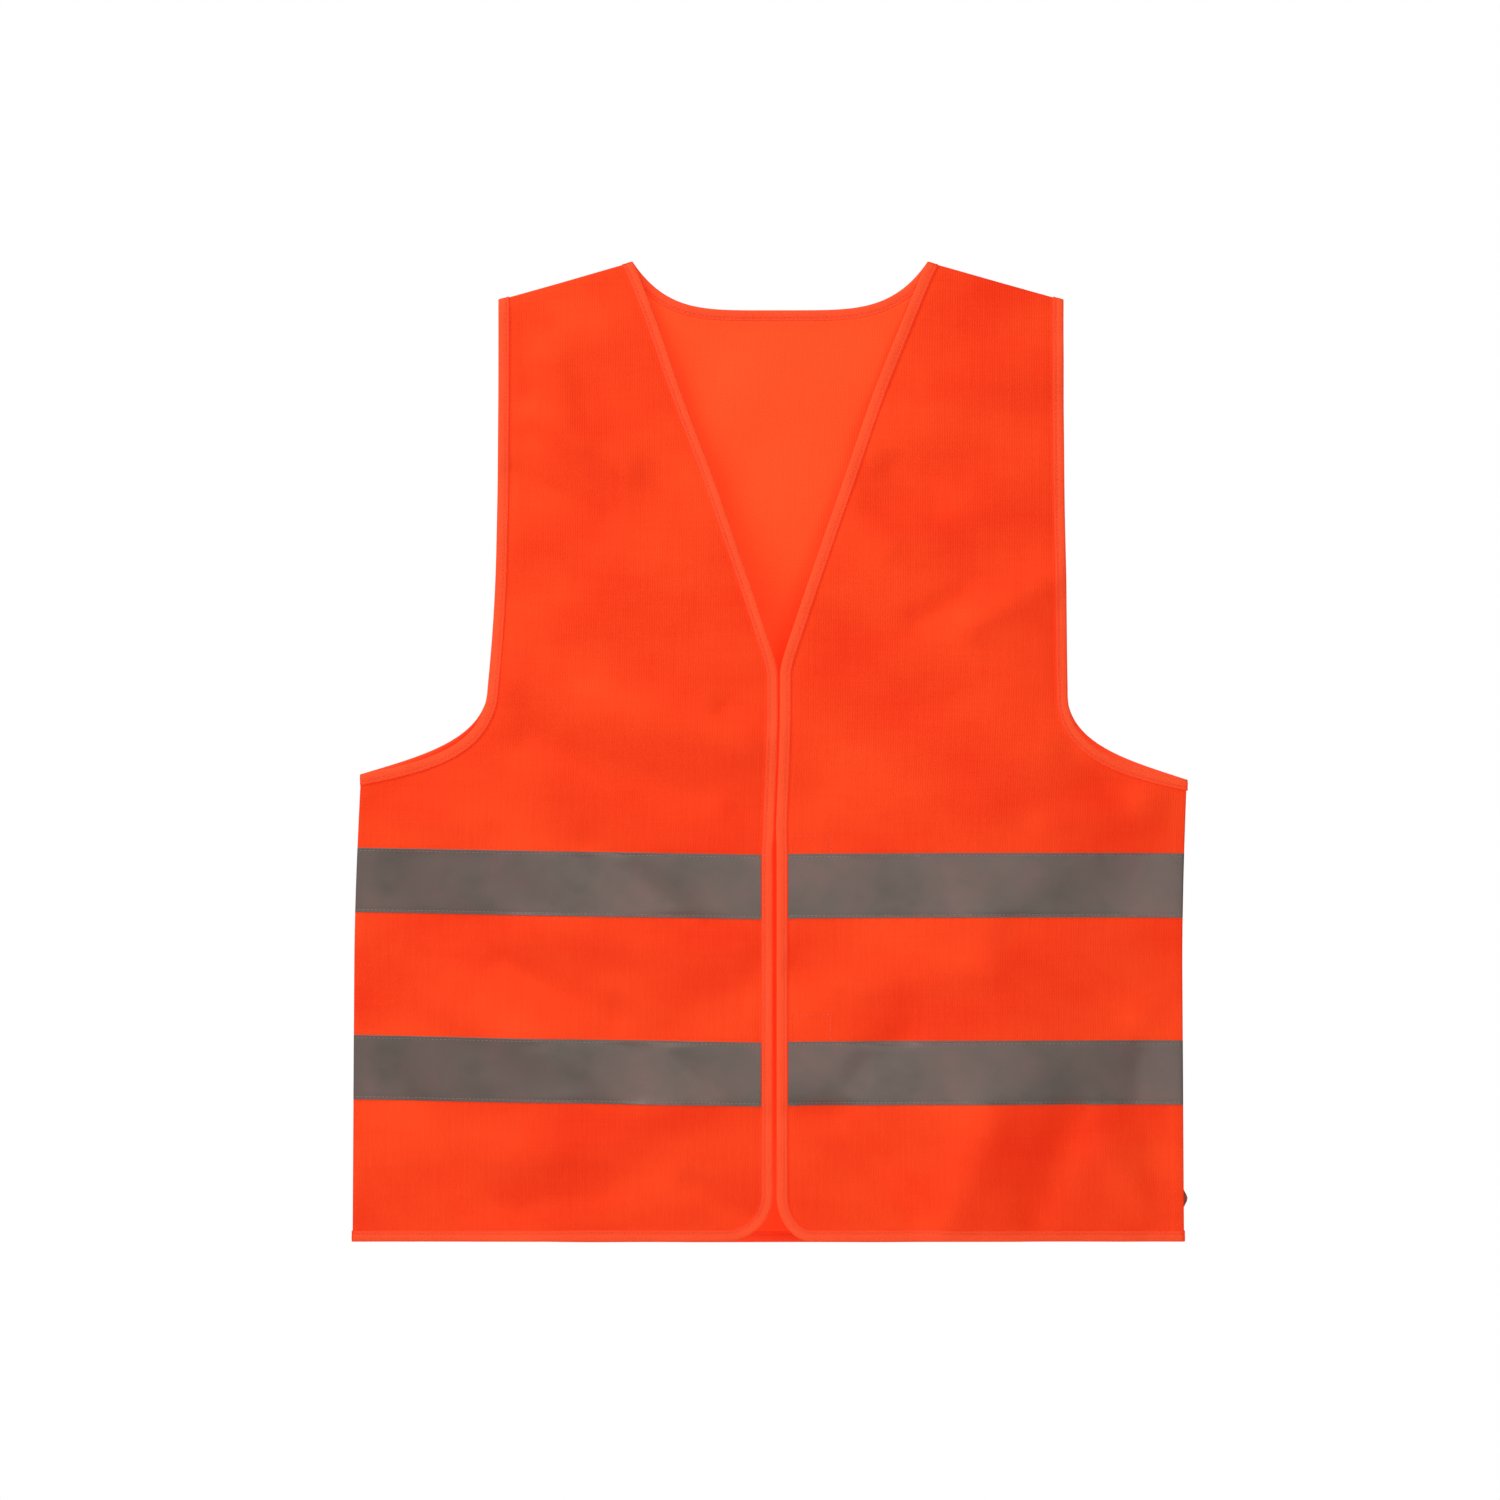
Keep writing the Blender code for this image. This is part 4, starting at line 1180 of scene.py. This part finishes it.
def make_closure(level, finishes):
    """A hook tab inside the left front, and its loop patch inside the right front."""
    base = BASE_BOXES[level]
    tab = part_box(level + "_tab")
    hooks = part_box(level + "_hook_patch")
    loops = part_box(level + "_loop_patch")
    base_top, base_low = off_of(base)
    tab_top, tab_low = off_of(tab)
    hook_top, hook_low = off_of(hooks)
    loop_top, loop_low = off_of(loops)
    z = np.linspace(base[1].z, base[0].z, 14)
    base_off = (base_top + base_low) / 2
    tab_off = (tab_top + tab_low) / 2
    path = fold_path(base[1].x, tab[0].x, base_off, tab_off, tab[1].x)
    strap, length = layer(path, z, FRONT, finishes["ribbon"], level + "_closing_tab",
                          STRAP_THICK)
    pieces = {"strap": strap}
    for key, box, top, low in (("hooks", hooks, hook_top, hook_low),
                               ("loops", loops, loop_top, loop_low)):
        off = (top + low) / 2
        line = np.linspace((box[0].x, off), (box[1].x, off), 14)
        made, length = layer(line, np.linspace(box[1].z, box[0].z, 26), FRONT,
                             finishes["loops"], "%s_%s_backing" % (level, key), PILE_THICK)
        on = level + "_closing_tab" if key == "hooks" else "right_front_panel"
        pieces[key] = made
    spots = patch_points(hooks, HOOK_PITCH)
    places = drape(spots[:, 0], spots[:, 1], FRONT, (hook_top + hook_low - PILE_THICK) / 2)
    along = np.repeat([[1.0, 0.0, 0.0]], len(spots), 0)
    out = np.repeat([[0.0, 1.0, 0.0]], len(spots), 0)
    pieces["hook_field"] = copies(level + "_hook_field", hook_shape(), places, along, out,
                                  finishes["hooks"])
    return pieces


def make_label(finish):
    """Blank care label: a folded satin ribbon caught in the left side seam."""
    low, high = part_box("care_label")
    fold = side_x(low.z) + LABEL_PEEP
    path = np.vstack([
        np.linspace((low.x, -0.00012), (fold - 0.0004, -0.00016), 24),
        [(fold - 0.0001, -0.0001), (fold, 0.0), (fold - 0.0001, 0.0001)],
        np.linspace((fold - 0.0004, 0.00016), (low.x, 0.00012), 24)])
    z = np.linspace(high.z, low.z, 16)
    along = np.gradient(path, axis=0)
    along /= np.linalg.norm(along, axis=1)[:, None]
    normal = np.stack([-along[:, 1], along[:, 0]], 1)
    length = np.concatenate([[0.0], np.cumsum(np.linalg.norm(np.diff(path, axis=0), axis=1))])
    middle = (low.z + high.z) / 2 - 0.007
    tuck = 0.0035 * smooth(np.abs(z - middle) / 0.009) - aside(fold, middle, BACK)
    sides = []
    for sign in (1, -1):
        line = path + normal * sign * 0.00005
        x = line[None, :, 0] - tuck[:, None]
        y = np.repeat(line[None, :, 1], len(z), 0)
        sides.append(np.stack([x, y, np.repeat(z[:, None], len(path), 1)], -1))
    flat = np.stack(np.broadcast_arrays(length[None, :], z[:, None]), -1)
    piece = cloth("blank_care_label", sides[0], sides[1], flat, finish)
    return piece


def make_allowance(name, a, b, inward, finish):
    """The turned edges of a seam from a to b, as a narrow folded strip inside it."""
    count = max(8, int(np.linalg.norm(np.subtract(b, a)) / 0.006))
    t = np.linspace(0.0, 1.0, count)[:, None]
    line = np.array(a) * (1 - t) + np.array(b) * t
    u = np.linspace(ALLOWANCE_START, ALLOWANCE_END, 5)
    flutter = (0.00022 * np.sin(np.arange(count) * 1.7)[:, None]
               * (u / ALLOWANCE_END)[None, :] ** 2)
    x = line[:, :1] + inward[0] * u
    z = line[:, 1:] + inward[1] * u
    drift = aside(x, z, BACK)
    sides = [np.stack([x + drift, np.full(x.shape, sign * ALLOWANCE_HALF) + flutter, z], -1)
             for sign in (1, -1)]
    length = np.concatenate([[0.0], np.cumsum(np.linalg.norm(np.diff(line, axis=0), axis=1))])
    flat = np.stack(np.broadcast_arrays(u[None, :], length[:, None]), -1)
    piece = cloth(name, sides[0], sides[1], flat, finish)
    return piece


# ------------------------------------------------------------------- assembly

def fold_zone(hand):
    """Start and end of the cloth's turn across a front's fold line."""
    lean = np.array([FOLD_HEM_X - NECK_HALF, HEM_Z])
    lean /= np.linalg.norm(lean)
    out = np.array([-lean[1], lean[0]])
    start = out * 0.005 + (NECK_HALF, 0.0)
    end = out * -0.017 + (NECK_HALF, 0.0)
    return (start[0] * hand, 0.0, start[1]), (end[0] * hand, 0.0, end[1])


def settle(piece, body, slot, *nodes):
    """A piece rides on a body and stands for the nodes named; slot is not used."""
    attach(piece, body)
    if nodes:
        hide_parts(*nodes)


def fit_front(side, hand, finishes, ribbons, tapes, stitches):
    """A front with its binding, tapes and stitches, each with its transform baked in."""
    front = make_front(side, hand, finishes["front_knit"])
    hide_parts(side + "_front_side", side + "_front_flap")
    edge = ribbons[side + "_front"]
    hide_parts(side + "_front_edge_binding")
    crossing = [front, edge, stitches[side + "_front_stitches"],
                stitches[side + "_tape_stitches"]]
    for level in TAPE_BOXES:
        tape = tapes[level, side]
        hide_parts("%s_%s_side_tape" % (level, side), "%s_%s_flap_tape" % (level, side))
        crossing.append(tape)
    start, end = fold_zone(hand)
    for piece in crossing:
        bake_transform(piece)


def fit_allowances(side, hand, finish):
    """The turned edges inside a shoulder seam and a side seam."""
    corners = np.array([(NECK_HALF, 0.0), SHOULDER_TIP, UNDERARM, (SIDE_X, HEM_Z)])
    neck, tip, underarm, foot = corners * (hand, 1)
    run = (tip - neck) / np.linalg.norm(tip - neck)
    drop = (foot - underarm) / np.linalg.norm(foot - underarm)
    piece = make_allowance(side + "_shoulder_allowance", neck + run * ALLOWANCE_TRIM,
                           tip - run * ALLOWANCE_TRIM, (run[1] * hand, -abs(run[0])), finish)
    settle(piece, "shell", "knit", side + "_shoulder_seam")
    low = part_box(side + "_side_seam")[0].z
    piece = make_allowance(side + "_side_allowance", underarm + drop * ALLOWANCE_TRIM,
                           np.array([side_x(low) * hand, low]), (-hand, 0.0), finish)
    settle(piece, "shell", "knit", side + "_side_seam")


def strap_turn(level):
    """Start and end of a strap's turn from its base to its tab, at its top edge."""
    base, tab = BASE_BOXES[level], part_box(level + "_tab")
    ends = []
    for share in TURN_SHARES:
        off = sum(off_of(base)) / 2 * (1 - share) + sum(off_of(tab)) / 2 * share
        ends.append(tuple(float(c) for c in drape(base[0].x, base[1].z, FRONT, off)))
    reach = (Vector(ends[1]) - Vector(ends[0])).length
    # Known fault: square to the cloth would be -SLOPE.  So only the top of a strap
    # turns with its tab, and the rest stays on its base.
    inward = Vector((0.0, 1.0, SLOPE)).normalized()
    return ends[0], tuple(Vector(ends[0]) + inward * reach)


def fit_closure(level, finishes):
    """A strap sewn to the left front, its hooks, and the loops inside the right front."""
    parts = make_closure(level, finishes)
    start, end = strap_turn(level)
    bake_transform(parts["strap"])
    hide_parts(level + "_tab_base", level + "_tab")
    settle(parts["hooks"], level + "_tab", "hook_and_loop", level + "_hook_patch")
    settle(parts["hook_field"], level + "_tab", "hook_and_loop")
    settle(parts["loops"], "right_front", "hook_and_loop", level + "_loop_patch")


def main():
    """The studio, and every piece of the vest on its body."""
    place_camera()
    build_studio()
    finishes = make_finishes()
    settle(make_back(finishes["back_knit"]), "shell", "knit", "back_panel")
    ribbons = make_bindings(finishes["ribbon"])
    tapes = make_tapes(finishes["reflective"])
    stitches = make_stitches(finishes)
    for side, hand in (("left", 1), ("right", -1)):
        fit_front(side, hand, finishes, ribbons, tapes, stitches)
        settle(ribbons[side + "_armhole"], "shell", "binding", side + "_armhole_binding")
        fit_allowances(side, hand, finishes["back_knit"])
    settle(ribbons["neck"], "shell", "binding", "neck_binding")
    settle(ribbons["hem"], "shell", "binding", "hem_binding")
    for level in TAPE_BOXES:
        settle(tapes[level, "back"], "shell", "reflective_tape", level + "_back_tape")
    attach(stitches["shell_stitches"], "shell")
    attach(stitches["back_tape_stitches"], "shell")
    for level in TAPE_BOXES:
        fit_closure(level, finishes)
    settle(make_label(finishes["satin"]), "shell", "label_satin", "care_label")


main()
